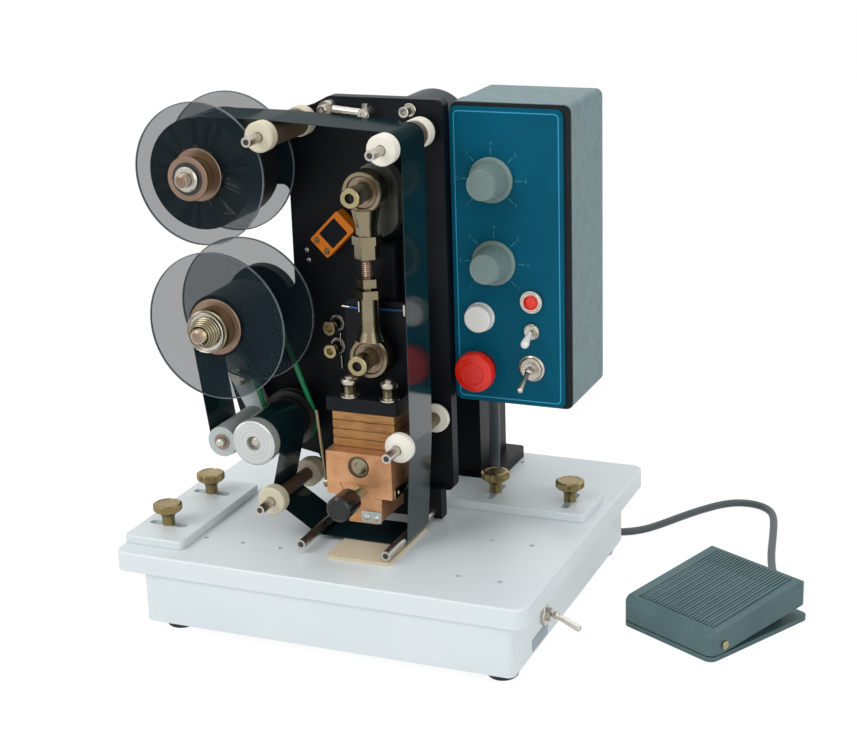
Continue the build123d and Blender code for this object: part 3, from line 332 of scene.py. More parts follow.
NODE_FINISH = {
    "base_box": WHITE_COAT, "base_plate": WHITE_COAT, "left_guide_plate": WHITE_COAT,
    "rear_guide_plate": WHITE_COAT, "feet": RUBBER, "thumb_screws": BRASS, "anvil_pad": SILICONE,
    "main_plate": BLACK_PAINT, "head_guide": BLACK_PAINT, "column": BLACK_PAINT, "motor": MOTOR_PAINT,
    "spindles": CHROME, "tie_rod": CHROME, "position_sensor": ORANGE, "supply_discs": ACRYLIC,
    "takeup_discs": ACRYLIC, "supply_roll": WOUND_SUPPLY, "takeup_core": WOUND_TAKEUP,
    "supply_cap": ALUMINIUM, "takeup_cap": DARK_STEEL, "feed_roller": RUBBER, "feed_pulley": DARK_STEEL,
    "feed_knob": TURNED_KNOB,
    "takeup_pulley": ALUMINIUM, "drive_belt": BELT, "pinch_arm": PALE_GREY, "pinch_roller": PALE_GREY,
    "guide_roller_upper_left": NYLON, "guide_roller_upper_right": NYLON, "guide_roller_lower_right": NYLON,
    "guide_roller_lower_left": NYLON, "foil_web": RIBBON, "foil_return": RIBBON, "crank": MILLED_WEB,
    "connecting_rod": STEEL, "head_carriage": BLACK_PAINT, "insulation_block": LAMINATE,
    "heater_block": COPPER, "levelling_screws": CHROME, "type_holder": COPPER, "type_handle": GRIP,
    "control_box": HAMMERED, "control_panel": BLUE_FILM, "temperature_knob": KNOB_GREY,
    "speed_knob": KNOB_GREY, "switch_collars": CHROME, "panel_fittings": WHITE_PLASTIC,
    "stop_button": RED_PLASTIC, "power_toggle": CHROME, "mode_toggle": WHITE_PLASTIC,
    "side_toggle": CHROME, "pedal_base": PEDAL_PAINT, "pedal_cover": PEDAL_PAINT, "pedal_pins": BRASS,
    "pedal_gland": RUBBER, "cord_gland": RUBBER, "control_lead": LEAD_GREY,
}


def rounded(width: float, height: float, radius: float, steps: int = 6) -> list[tuple[float, float]]:
    """The outline of a rectangle with round corners, about its own middle.

    Args:
        width: Across.
        height: Up.
        radius: Of the corners.
        steps: Steps of each corner.

    Returns:
        Pairs of across and up, counter-clockwise.
    """
    points = []
    for corner, (side, top) in enumerate(((1, 1), (-1, 1), (-1, -1), (1, -1))):
        for step in range(steps + 1):
            angle = (corner + step / steps) * pi / 2
            points.append((side * (width / 2 - radius) + radius * cos(angle),
                           top * (height / 2 - radius) + radius * sin(angle)))
    return points


class Workpiece:
    """A mesh under construction, in machine millimetres."""

    def __init__(self, name: str) -> None:
        """Starts an empty mesh under a name."""
        self.name = name
        self.mesh = bmesh.new()

    def placed(self, made: Sequence[bmesh.types.BMVert], origin: Point, axis: Vector) -> None:
        """Turns new vertices from the Z axis to another one and moves them.

        Args:
            made: The vertices.
            origin: Where the shape's own origin goes.
            axis: The direction that its Z axis takes.
        """
        turn = axis.to_track_quat("Z", "Y").to_matrix().to_4x4()
        bmesh.ops.transform(self.mesh, matrix=Matrix.Translation(Vector(origin)) @ turn, verts=made)

    def turned(self, profile: Sequence[Point], origin: Point, axis: Vector = BACK, steps: int = 48) -> None:
        """Spins a profile about an axis.

        Args:
            profile: Pairs of radius and height along the axis.
            origin: The axis's start.
            axis: Its direction.
            steps: How many steps the full turn has.
        """
        old = set(self.mesh.verts)
        chain = [self.mesh.verts.new((r, 0, h)) for r, h in profile]
        edges = [self.mesh.edges.new(pair) for pair in zip(chain, chain[1:])]
        bmesh.ops.spin(self.mesh, geom=chain + edges, axis=(0, 0, 1), cent=(0, 0, 0), angle=2 * pi,
                       steps=steps, use_merge=True)
        made = [v for v in self.mesh.verts if v not in old]
        bmesh.ops.remove_doubles(self.mesh, verts=made, dist=0.0005)
        self.placed([v for v in self.mesh.verts if v not in old], origin, axis)

    def ring(self, inner: float, outer: float, depth: float, origin: Point, axis: Vector = BACK,
             steps: int = 48, edge: float = 0.4) -> None:
        """Makes a flat ring with chamfered outer edges.

        Args:
            inner: Radius of the bore.
            outer: Radius of the rim.
            depth: Length along the axis.
            origin: Middle of its lower face.
            axis: Its direction.
            steps: How many sides it has.
            edge: Width of the chamfers.
        """
        edge = min(edge, depth * 0.45)
        self.turned([(inner, 0), (outer - edge, 0), (outer, edge), (outer, depth - edge),
                     (outer - edge, depth), (inner, depth), (inner, 0)], origin, axis, steps)

    def toothed(self, radius: float, depth: float, teeth: int, h0: float, h1: float, origin: Point,
                axis: Vector = BACK, chamfer: float = 0.6, taper: float = 1.0,
                bore: float = 0.0) -> None:
        """Makes a drum with straight teeth round it, as knurling or flutes.

        Args:
            radius: Outer radius.
            depth: How far the grooves go in.
            teeth: How many teeth.
            h0: Lower end along the axis.
            h1: Upper end.
            origin: The axis's start.
            axis: Its direction.
            chamfer: Width of the slope at each end.
            taper: How wide the upper end is against the lower one.
            bore: Radius of the hole through it.
        """
        old = set(self.mesh.verts)
        disc = bmesh.ops.create_circle(self.mesh, cap_ends=True, radius=radius, segments=2 * teeth,
                                       matrix=Matrix.Translation((0, 0, h0 + chamfer)))["verts"]
        groove = 1 - depth / radius
        bmesh.ops.scale(self.mesh, vec=(groove, groove, 1), verts=disc[::2])
        face = next(f for f in self.mesh.faces if set(f.verts) == set(disc))
        lower = bmesh.ops.extrude_face_region(self.mesh, geom=[face])["geom"]
        top = [g for g in lower if isinstance(g, bmesh.types.BMVert)]
        bmesh.ops.scale(self.mesh, vec=(taper, taper, 1), verts=top)
        bmesh.ops.translate(self.mesh, vec=(0, 0, h1 - h0 - 2 * chamfer), verts=top)
        rims = []
        for end, height in ((disc, -chamfer), (top, chamfer)):
            ends = [f for f in self.mesh.faces if set(f.verts) == set(end)]
            cap = bmesh.ops.extrude_face_region(self.mesh, geom=ends)["geom"]
            cap = [g for g in cap if isinstance(g, bmesh.types.BMVert)]
            bmesh.ops.delete(self.mesh, geom=[f for f in ends if f.is_valid], context="FACES_ONLY")
            inner = 1 - (depth + chamfer) / radius
            bmesh.ops.scale(self.mesh, vec=(inner, inner, 1), verts=cap)
            bmesh.ops.translate(self.mesh, vec=(0, 0, height), verts=cap)
            if bore:
                lid = [f for f in self.mesh.faces if set(f.verts) == set(cap)]
                bmesh.ops.delete(self.mesh, geom=lid, context="FACES_ONLY")
                rims.append(bmesh.ops.create_circle(
                    self.mesh, radius=bore, segments=2 * teeth,
                    matrix=Matrix.Translation((0, 0, cap[0].co.z)))["verts"])
                self.bridge(cap, rims[-1])
        if bore:
            self.bridge(*rims)
        self.placed([v for v in self.mesh.verts if v not in old], origin, axis)

    def bridge(self, first: Sequence[bmesh.types.BMVert], second: Sequence[bmesh.types.BMVert]) -> None:
        """Joins two closed loops of vertices by faces."""
        edges = {edge for loop in (set(first), set(second)) for vert in loop for edge in vert.link_edges
                 if edge.other_vert(vert) in loop}
        bmesh.ops.bridge_loops(self.mesh, edges=list(edges))

    def block(self, low: Point, high: Point, edge: float = 0.4, segments: int = 2,
              turn: Matrix | None = None) -> None:
        """Makes a block with softened edges.

        Args:
            low: Its lowest corner.
            high: Its highest corner.
            edge: Width of the bevel.
            segments: Steps of the bevel.
            turn: A turn about the block's own middle.
        """
        low, high = Vector(low), Vector(high)
        size = high - low
        made = bmesh.ops.create_cube(self.mesh, size=1.0, matrix=Matrix.Diagonal((*size, 1)))["verts"]
        edges = {e for v in made for e in v.link_edges}
        made = bmesh.ops.bevel(self.mesh, geom=list(edges), offset=edge, segments=segments, profile=0.5,
                               affect="EDGES", material=-1)["verts"] if edge else made
        place = Matrix.Translation((low + high) / 2) @ (turn or Matrix.Identity(4))
        bmesh.ops.transform(self.mesh, matrix=place, verts=made)

    def plate(self, outline: Sequence[Point], origin: Point, axis: Vector, depth: float) -> None:
        """Makes a flat plate from its outline.

        Args:
            outline: Corners across and up, seen from where the axis points to.
            origin: The middle of its lower face.
            axis: The direction in which it is thick.
            depth: How thick it is.
        """
        old = set(self.mesh.verts)
        face = self.mesh.faces.new([self.mesh.verts.new((u, v, 0)) for u, v in outline])
        self.thicken([face], depth)
        self.placed([v for v in self.mesh.verts if v not in old], origin, axis)

    def band(self, outer: Sequence[Point], inner: Sequence[Point], origin: Point, axis: Vector,
             depth: float) -> None:
        """Makes a flat frame between two outlines with the same number of corners."""
        old = set(self.mesh.verts)
        rim, hole = ([self.mesh.verts.new((u, v, 0)) for u, v in line] for line in (outer, inner))
        count = len(rim)
        faces = [self.mesh.faces.new((rim[i], rim[(i + 1) % count], hole[(i + 1) % count], hole[i]))
                 for i in range(count)]
        self.thicken(faces, depth)
        self.placed([v for v in self.mesh.verts if v not in old], origin, axis)

    def thicken(self, faces: Sequence[bmesh.types.BMFace], depth: float) -> None:
        """Gives flat faces a thickness along Z."""
        made = bmesh.ops.extrude_face_region(self.mesh, geom=list(faces))["geom"]
        bmesh.ops.translate(self.mesh, vec=(0, 0, depth),
                            verts=[g for g in made if isinstance(g, bmesh.types.BMVert)])

    def figure(self, text: str, size: float, origin: Point, axis: Vector) -> None:
        """Sets a printed figure flat on a surface.

        Args:
            text: What it says.
            size: Height of its line.
            origin: Its middle.
            axis: Where its face looks.
        """
        data = bpy.data.curves.new("figure", "FONT")
        data.body, data.size, data.align_x, data.align_y = text, size, "CENTER", "CENTER"
        data.extrude, data.resolution_u = 0.03, 3
        holder = bpy.data.objects.new("figure", data)
        flat = bpy.data.meshes.new_from_object(holder)
        old = set(self.mesh.verts)
        self.mesh.from_mesh(flat)
        for made in (holder, data, flat):
            bpy.data.batch_remove([made])
        self.placed([v for v in self.mesh.verts if v not in old], origin, axis)

    def rod(self, start: Point, end: Point, radius: float, edge: float = 0.4, steps: int = 24) -> None:
        """Makes a round bar with chamfered ends from one point to another."""
        along = Vector(end) - Vector(start)
        length = along.length
        self.turned([(0, 0), (radius - edge, 0), (radius, edge), (radius, length - edge),
                     (radius - edge, length), (0, length)], start, along, steps)

    def spring(self, origin: Point, axis: Vector, radius: float, wire: float, length: float, turns: float,
               taper: float = 1.0) -> None:
        """Makes a coil spring.

        Args:
            origin: The middle of its first turn.
            axis: Its direction.
            radius: Radius of the wire's line at the first turn.
            wire: Radius of the wire.
            length: Its length.
            turns: How many turns.
            taper: How large the last turn is against the first.
        """
        old = set(self.mesh.verts)
        steps = round(20 * turns)
        section = bmesh.ops.create_circle(self.mesh, cap_ends=True, radius=wire, segments=8,
                                          matrix=Matrix.Translation((radius, 0, 0))
                                          @ Matrix.Rotation(pi / 2, 4, "X"))["verts"]
        geom = list({f for v in section for f in v.link_faces})
        bmesh.ops.spin(self.mesh, geom=geom, axis=(0, 0, 1), cent=(0, 0, 0), dvec=(0, 0, length / steps),
                       angle=2 * pi * turns, steps=steps, use_merge=False)
        made = [v for v in self.mesh.verts if v not in old]
        for vert in made:
            shrink = 1 + (taper - 1) * min(max(vert.co.z / length, 0), 1)
            vert.co.x, vert.co.y = vert.co.x * shrink, vert.co.y * shrink
        self.placed(made, origin, axis)

    def socket_screw(self, origin: Point, axis: Vector, radius: float, height: float) -> None:
        """Makes a socket cap screw whose head stands on a surface."""
        hexagon = radius * 0.5
        self.turned([(0, height * 0.1), (hexagon, height * 0.1)], origin, axis, 6)
        self.turned([(hexagon, height * 0.1), (hexagon, height)], origin, axis, 6)
        self.turned([(hexagon, height), (radius - 0.5, height), (radius, height - 0.5), (radius, 0)],
                    origin, axis, 24)

    def slotted_screw(self, origin: Point, axis: Vector, radius: float, height: float) -> None:
        """Makes a round-headed screw with a slot, standing on a surface."""
        self.turned([(0, height), (radius * 0.5, height * 0.93), (radius * 0.85, height * 0.62),
                     (radius, height * 0.2), (radius, 0)], origin, axis, 20)
        middle = Vector(origin) + axis.normalized() * height * 0.9
        turn = axis.to_track_quat("Z", "Y").to_matrix().to_4x4()
        half = Vector((radius * 0.9, radius * 0.12, height * 0.15))
        self.block(middle - half, middle + half, edge=0.0, turn=turn)

    def done(self, body: str, finish: Finish, replaces: Sequence[str] = ()) -> bpy.types.Object:
        """Closes the mesh, moves it into the row frame and dresses it.

        Args:
            body: The CAD body that it rides on.
            finish: Its finish.
            replaces: The CAD nodes that it stands for.

        Returns:
            The finished object.
        """
        bmesh.ops.recalc_face_normals(self.mesh, faces=self.mesh.faces[:])
        bmesh.ops.transform(self.mesh, matrix=TO_ROW, verts=self.mesh.verts[:])
        for face in self.mesh.faces:
            face.smooth = True
        for edge in self.mesh.edges:
            edge.smooth = edge.calc_face_angle(0.0) < radians(32)
        data = bpy.data.meshes.new(self.name)
        self.mesh.to_mesh(data)
        self.mesh.free()
        piece = bpy.data.objects.new(self.name, data)
        bpy.context.scene.collection.objects.link(piece)
        data.materials.append(finish.material())
        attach(piece, body)
        if replaces:
            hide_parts(*replaces)
        LOG.info("%s rides on %s", self.name, body)
        return piece


def dress_nodes() -> None:
    """Gives every CAD node that stays its procedural material."""
    for name, finish in NODE_FINISH.items():
        node = frame["nodes"][name]
        node.data.materials.clear()
        node.data.materials.append(finish.material())
        LOG.info("%s is %s", name, finish.name)


@dataclass
class Studio:
    """The camera as the photograph has it, the floor and the soft lamps."""

    eye: tuple[float, float, float] = (526.1, -1013.1, 574.4)
    azimuth: float = 23.131
    elevation: float = 18.115
    roll: float = -1.890
    lens: float = 76.9
    floor_half: float = 6.0

    def build(self) -> None:
        """Makes camera, floor, world and lamps."""
        bpy.context.scene.view_settings.view_transform = "Standard"
        self.camera()
        self.floor()
        self.world()
        self.lamp("key_light", (-1.3, -1.5, 1.7), 1.4, 23.5)
        self.lamp("fill_light", (1.5, -1.1, 0.9), 1.6, 8.5)
        self.lamp("top_light", (0.1, 0.5, 2.0), 1.6, 13.0)

    def camera(self) -> None:
        """Places the camera by its angles."""
        a, e, r = radians(self.azimuth), radians(self.elevation), radians(self.roll)
        back = Vector((sin(a) * cos(e), -cos(a) * cos(e), sin(e)))
        right = Vector((cos(a), sin(a), 0))
        up = back.cross(right)
        across, over = right * cos(r) + up * sin(r), up * cos(r) - right * sin(r)
        data = bpy.data.cameras.new("photo_camera")
        data.lens, data.sensor_width = self.lens, 36.0
        eye = bpy.data.objects.new("photo_camera", data)
        bpy.context.scene.collection.objects.link(eye)
        turn = Matrix((across, over, back)).transposed().to_4x4()
        eye.matrix_world = Matrix.Translation(at(*self.eye)) @ turn
        bpy.context.scene.camera = eye

    def floor(self) -> None:
        """Makes the pale floor, white to the camera but for the object's shadow."""
        plane = bmesh.new()
        bmesh.ops.create_grid(plane, x_segments=1, y_segments=1, size=self.floor_half)
        data = bpy.data.meshes.new("floor")
        plane.to_mesh(data)
        plane.free()
        piece = bpy.data.objects.new("floor", data)
        bpy.context.scene.collection.objects.link(piece)
        paper = bpy.data.materials.new("white_paper")
        paper.use_nodes = True
        tree = paper.node_tree
        tree.nodes.clear()
        path = add_node(tree, "ShaderNodeLightPath")
        seen = add_node(tree, "ShaderNodeMath", {0: path.outputs["Is Camera Ray"],
                                                 1: path.outputs["Is Glossy Ray"]}, operation="MAXIMUM")
        seen = add_node(tree, "ShaderNodeMath", {0: seen.outputs[0],
                                                 1: path.outputs["Is Transmission Ray"]}, operation="MAXIMUM")
        part = add_node(tree, "ShaderNodeMath", {0: seen.outputs[0], 1: 0.86}, operation="MULTIPLY")
        matt = add_node(tree, "ShaderNodeBsdfDiffuse", {"Color": linear("F4F5F6")})
        glow = add_node(tree, "ShaderNodeEmission", {"Color": (1, 1, 1, 1), "Strength": 1.08})
        mix = add_node(tree, "ShaderNodeMixShader", {0: part.outputs[0], 1: matt.outputs[0],
                                                     2: glow.outputs[0]})
        add_node(tree, "ShaderNodeOutputMaterial", {"Surface": mix.outputs[0]})
        data.materials.append(paper)

    def world(self) -> None:
        """Makes the surroundings: white to look at, softer as light."""
        sky = bpy.data.worlds.new("studio")
        sky.use_nodes = True
        bpy.context.scene.world = sky
        tree = sky.node_tree
        tree.nodes.clear()
        path = add_node(tree, "ShaderNodeLightPath")
        seen = add_node(tree, "ShaderNodeMath", {0: path.outputs["Is Camera Ray"],
                                                 1: path.outputs["Is Glossy Ray"]}, operation="MAXIMUM")
        seen = add_node(tree, "ShaderNodeMath", {0: seen.outputs[0],
                                                 1: path.outputs["Is Transmission Ray"]}, operation="MAXIMUM")
        strength = add_node(tree, "ShaderNodeMapRange", {"Value": seen.outputs[0], "To Min": 0.55,
                                                         "To Max": 1.0})
        glow = add_node(tree, "ShaderNodeBackground", {"Color": (1, 1, 1, 1),
                                                       "Strength": strength.outputs["Result"]})
        add_node(tree, "ShaderNodeOutputWorld", {"Surface": glow.outputs[0]})

    def lamp(self, name: str, place: Point, size: float, power: float) -> None:
        """Adds a soft lamp that looks at the machine."""
        data = bpy.data.lights.new(name, "AREA")
        data.size, data.energy = size, power
        lamp = bpy.data.objects.new(name, data)
        bpy.context.scene.collection.objects.link(lamp)
        aim = Vector((0, 0, 0.18)) - Vector(place)
        lamp.matrix_world = Matrix.Translation(place) @ aim.to_track_quat("-Z", "Y").to_matrix().to_4x4()


@dataclass
class FootCord:
    """The foot switch's cord: out of the base, a stored coil behind, and round to the switch."""

    diameter: float = 0.006
    length: float = 1.27
    coil_x: float = 50.0
    coil_y: float = 322.0
    outer: float = 37.2
    inner: float = 31.0
    low: float = 3.2
    high: float = 9.5
    near: tuple[Point, ...] = ((112, 262, 26), (112, 273, 26), (111.5, 284, 22.5), (107.5, 294.5, 17),
                               (100, 303.5, 12), (91.5, 311, 10))
    far: tuple[Point, ...] = ((62, 283.2), (77, 281.6), (92, 277.5), (107, 271.5), (124, 267.2),
                              (140.5, 269.8), (154.5, 280), (165.5, 297), (176, 316.5), (187.7, 335.2),
                              (198.8, 349.4), (208.3, 356.8), (219, 359.5), (229.8, 357.2), (238.5, 350.4),
                              (244.1, 339.8), (248.4, 322.4), (253.2, 297.1), (258.2, 268.7),
                              (263.4, 245.7), (268.6, 229.1), (273.8, 216.0), (275.8, 204.4),
                              (272.4, 194.1))

    def coil(self) -> list[Point]:
        """The coil's points: two turns on two, wound inwards, down and outwards.

        Returns:
            Points in machine millimetres.
        """
        points = []
        for step in range(1, 60):
            angle = step * 22.5
            wide = self.outer if angle < 335 or angle > 1010 else self.inner
            height = self.high if angle < 670 else self.low
            if 335 <= angle < 360 or 990 < angle <= 1010:
                wide = (self.outer + self.inner) / 2
            turn = radians(angle)
            points.append((self.coil_x + wide * cos(turn), self.coil_y + wide * sin(turn), height))
        return points

    def build(self) -> None:
        points = [*self.near, *self.coil(), *[(x, y, self.low) for x, y in self.far]]
        data = bpy.data.curves.new("foot_cord", "CURVE")
        data.dimensions = "3D"
        data.bevel_depth, data.bevel_resolution = self.diameter / 2, 5
        data.use_fill_caps = True
        data.resolution_u = 6
        spline = data.splines.new("NURBS")
        spline.points.add(len(points) - 1)
        for point, place in zip(spline.points, points):
            point.co = (*at(*place), 1)
        spline.order_u = 3
        spline.use_endpoint_u = True
        cord = bpy.data.objects.new("foot_cord", data)
        bpy.context.scene.collection.objects.link(cord)
        data.materials.append(CORD_GREY.material())
        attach(cord, "frame")
        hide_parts("cord_near", "cord_coil", "cord_far")
        LOG.info("foot_cord has %d points", len(points))


@dataclass
class Reel:
    """Hub of a reel in front of its clear discs, and painted shade on the polished edges of the discs."""

    body: str
    cap: str
    axis: tuple[float, float]
    disc: float
    washer: float
    drum: float
    sprung: bool
    bore: float = 5.3
    disc_t: float = 1.5
    disc_ys: tuple[float, float] = (65.0, 111.0)

    def place(self, y: float) -> Point:
        """A point of the reel's axis."""
        return self.axis[0], y, self.axis[1]

    def build(self) -> None:
        """Makes the hub's pieces from back to front."""
        self.edges()
        washer = Workpiece(self.body + "_washer")
        washer.ring(self.bore, self.washer, 2.0, self.place(65.0), FORWARD, 64)
        washer.done(self.body, BRONZE, [self.cap])
        drum = Workpiece(self.body + "_drum")
        drum.toothed(self.drum, 0.35, 90, 0.0, 11.5, self.place(63.0), FORWARD, 0.5, bore=self.bore)
        drum.done(self.body, STEEL)
        if self.sprung:
            self.spring_cup()
        else:
            self.front_washer()

    def edges(self) -> None:
        """Makes the two discs' edges as darker rings of painted shade."""
        # Thin darker rings over the disc rims are painted shade, not a colour of the acrylic.
        edges = Workpiece(self.body + "_disc_edges_painted_shade")
        for y in self.disc_ys:
            edges.ring(self.disc - 0.7, self.disc + 0.06, self.disc_t + 0.06, self.place(y - 0.03), BACK,
                       128, 0.1)
        edges.done(self.body, DISC_EDGE_SHADE)

    def front_washer(self) -> None:
        """Makes the supply reel's bronze front washer with its nickel ring."""
        washer = Workpiece(self.body + "_front_washer")
        washer.ring(self.bore, 15.4, 2.0, self.place(51.5), FORWARD, 64)
        washer.done(self.body, BRONZE)
        race = Workpiece(self.body + "_race")
        race.ring(self.bore, 11.4, 0.5, self.place(49.5), FORWARD, 56, 0.15)
        race.done(self.body, DARK_STEEL)
        ring = Workpiece(self.body + "_ring")
        ring.ring(self.bore, 8.8, 3.2, self.place(49.5), FORWARD, 48, 1.2)
        ring.done(self.body, CHROME)

    def spring_cup(self) -> None:
        """Makes the take-up reel's cup and the conical spring that brakes it."""
        cup = Workpiece(self.body + "_cup")
        cup.turned([(6.4, 0), (14.5, 0), (14.5, 3.2), (14.1, 3.6), (13.6, 3.2), (13.6, 0.9), (6.4, 0.9),
                    (6.4, 0)],
                   self.place(51.5), FORWARD, 64)
        cup.done(self.body, CHROME)
        spring = Workpiece(self.body + "_spring")
        spring.spring(self.place(49.6), FORWARD, 10.8, 0.85, 8.4, 4.5, 0.66)
        spring.done(self.body, STEEL)


@dataclass
class FeedUnit:
    """The knurled feed knob and the pinch roller's bush and pin."""

    knob_r: float = 16.8
    knob_back: float = 66.3
    knob_t: float = 9.8
    hole_r: float = 5.3

    def build(self) -> None:
        """Makes knob, screw, bush and pin tip."""
        x, z = FEED_AXIS
        knob = Workpiece("feed_knob_knurled")
        knob.toothed(self.knob_r, 0.45, 96, 0.0, self.knob_t, (x, self.knob_back, z), FORWARD, 0.7,
                     bore=self.hole_r)
        knob.done("feed_unit", TURNED_KNOB, ["feed_knob"])
        screw = Workpiece("feed_screw")
        screw.turned([(0, 1.9), (1.5, 2.0), (3.0, 1.5), (4.4, 0.3), (4.4, 0)], (x, 60.3, z), FORWARD, 32)
        screw.turned([(0, 0), (4.4, 0)], (x, 60.3, z), FORWARD, 32)
        screw.done("feed_unit", CHROME)
        x, z = PINCH_AXIS
        bush = Workpiece("pinch_bush")
        bush.ring(3.4, 5.8, 0.9, (x, 62.0, z), FORWARD, 40, 0.25)
        bush.done("pinch_wheel", BRONZE)
        tip = Workpiece("pinch_pin_tip")
        tip.turned([(0, 1.0), (1.4, 0.9), (2.5, 0.4), (2.9, 0), (0, 0)], (x, 58.0, z), FORWARD, 24)
        tip.done("pinch_lever", CHROME)


@dataclass
class GuideRoller:
    """One guide roller: nylon collars on a brown sleeve."""

    body: str
    x: float
    z: float
    barrel: float
    rear: float
    collars: Finish
    nose: float = 9.4
    collar_r: float = 10.5
    front_y: float = 55.0
    front_t: float = 9.0
    rear_y: float = 129.5
    bore: float = 3.8

    def build(self) -> None:
        """Makes the collars and the sleeve between them."""
        collars = Workpiece(self.body + "_collars")
        nose = max(self.collar_r - self.nose, 1.0)
        collars.turned([(self.bore, 0), (self.nose, 0), (self.collar_r, nose), (self.collar_r,
                                                                                self.front_t - 0.4),
                        (self.collar_r - 0.4, self.front_t), (self.bore, self.front_t), (self.bore, 0)],
                       (self.x, self.front_y, self.z), BACK, 48)
        collars.ring(self.bore, self.collar_r, self.rear * 0.6, (self.x, self.rear_y - self.rear, self.z),
                     BACK, 48)
        collars.done(self.body, self.collars, ["guide_" + self.body])
        start = self.front_y + self.front_t
        sleeve = Workpiece(self.body + "_sleeve")
        sleeve.ring(self.bore, self.barrel, self.rear_y - self.rear - start, (self.x, start, self.z), BACK,
                    40, 0.1)
        washers = 3
        step = self.rear * 0.4 / washers
        for i in range(washers):
            y = self.rear_y - self.rear * 0.4 + i * step
            sleeve.ring(self.bore, self.collar_r - 0.6 - i * 0.8, step - 0.3, (self.x, y, self.z), BACK,
                        40, 0.3)
        sleeve.done(self.body, SLEEVE)


@dataclass
class CrankDrive:
    """Socket heads with painted shade in their sockets, races and thread on the crank and the connecting rod.
    """

    x: float = 11.6
    pin_z: float = 308.5
    bolt_z: float = 191.0
    head_y: float = 71.1
    head_r: float = 7.1
    race_y: float = 87.4
    stud: tuple[float, float] = (249.0, 262.0)

    def build(self) -> None:
        """Makes the open sockets on both bolts with a dark disc of painted shade on each socket's floor, the
        races and the turnbuckle's thread.
        """
        for name, body, z in (("crank_bolt_socket", "crank_body", self.pin_z),
                              ("rod_bolt_socket", "link", self.bolt_z)):
            head = Workpiece(name)
            head.socket_screw((self.x, self.head_y, z), FORWARD, self.head_r, 4.2)
            head.done(body, WARM_STEEL)
            # A dark disc on the socket's floor: painted shade of the hex recess, in the rubber finish for its
            # darkness.
            floor = Workpiece(name + "_floor")
            floor.turned([(0, 1.1), (self.head_r * 0.49, 1.1), (self.head_r * 0.49, 0.6), (0, 0.6)],
                         (self.x, self.head_y, z), FORWARD, 6)
            floor.done(body, RUBBER)
        races = Workpiece("rod_end_races")
        for z in (self.pin_z, self.bolt_z):
            races.ring(8.4, 10.8, 0.5, (self.x, self.race_y, z), FORWARD, 48, 0.15)
        races.done("link", BRONZE)
        thread = Workpiece("turnbuckle_thread")
        low, high = self.stud
        turns = 9
        profile = [(4.05 + 0.4 * (i % 2), i * (high - low) / (2 * turns)) for i in range(2 * turns + 1)]
        thread.turned(profile, (self.x, 92.0, low), UP, 24)
        thread.done("link", BRONZE)


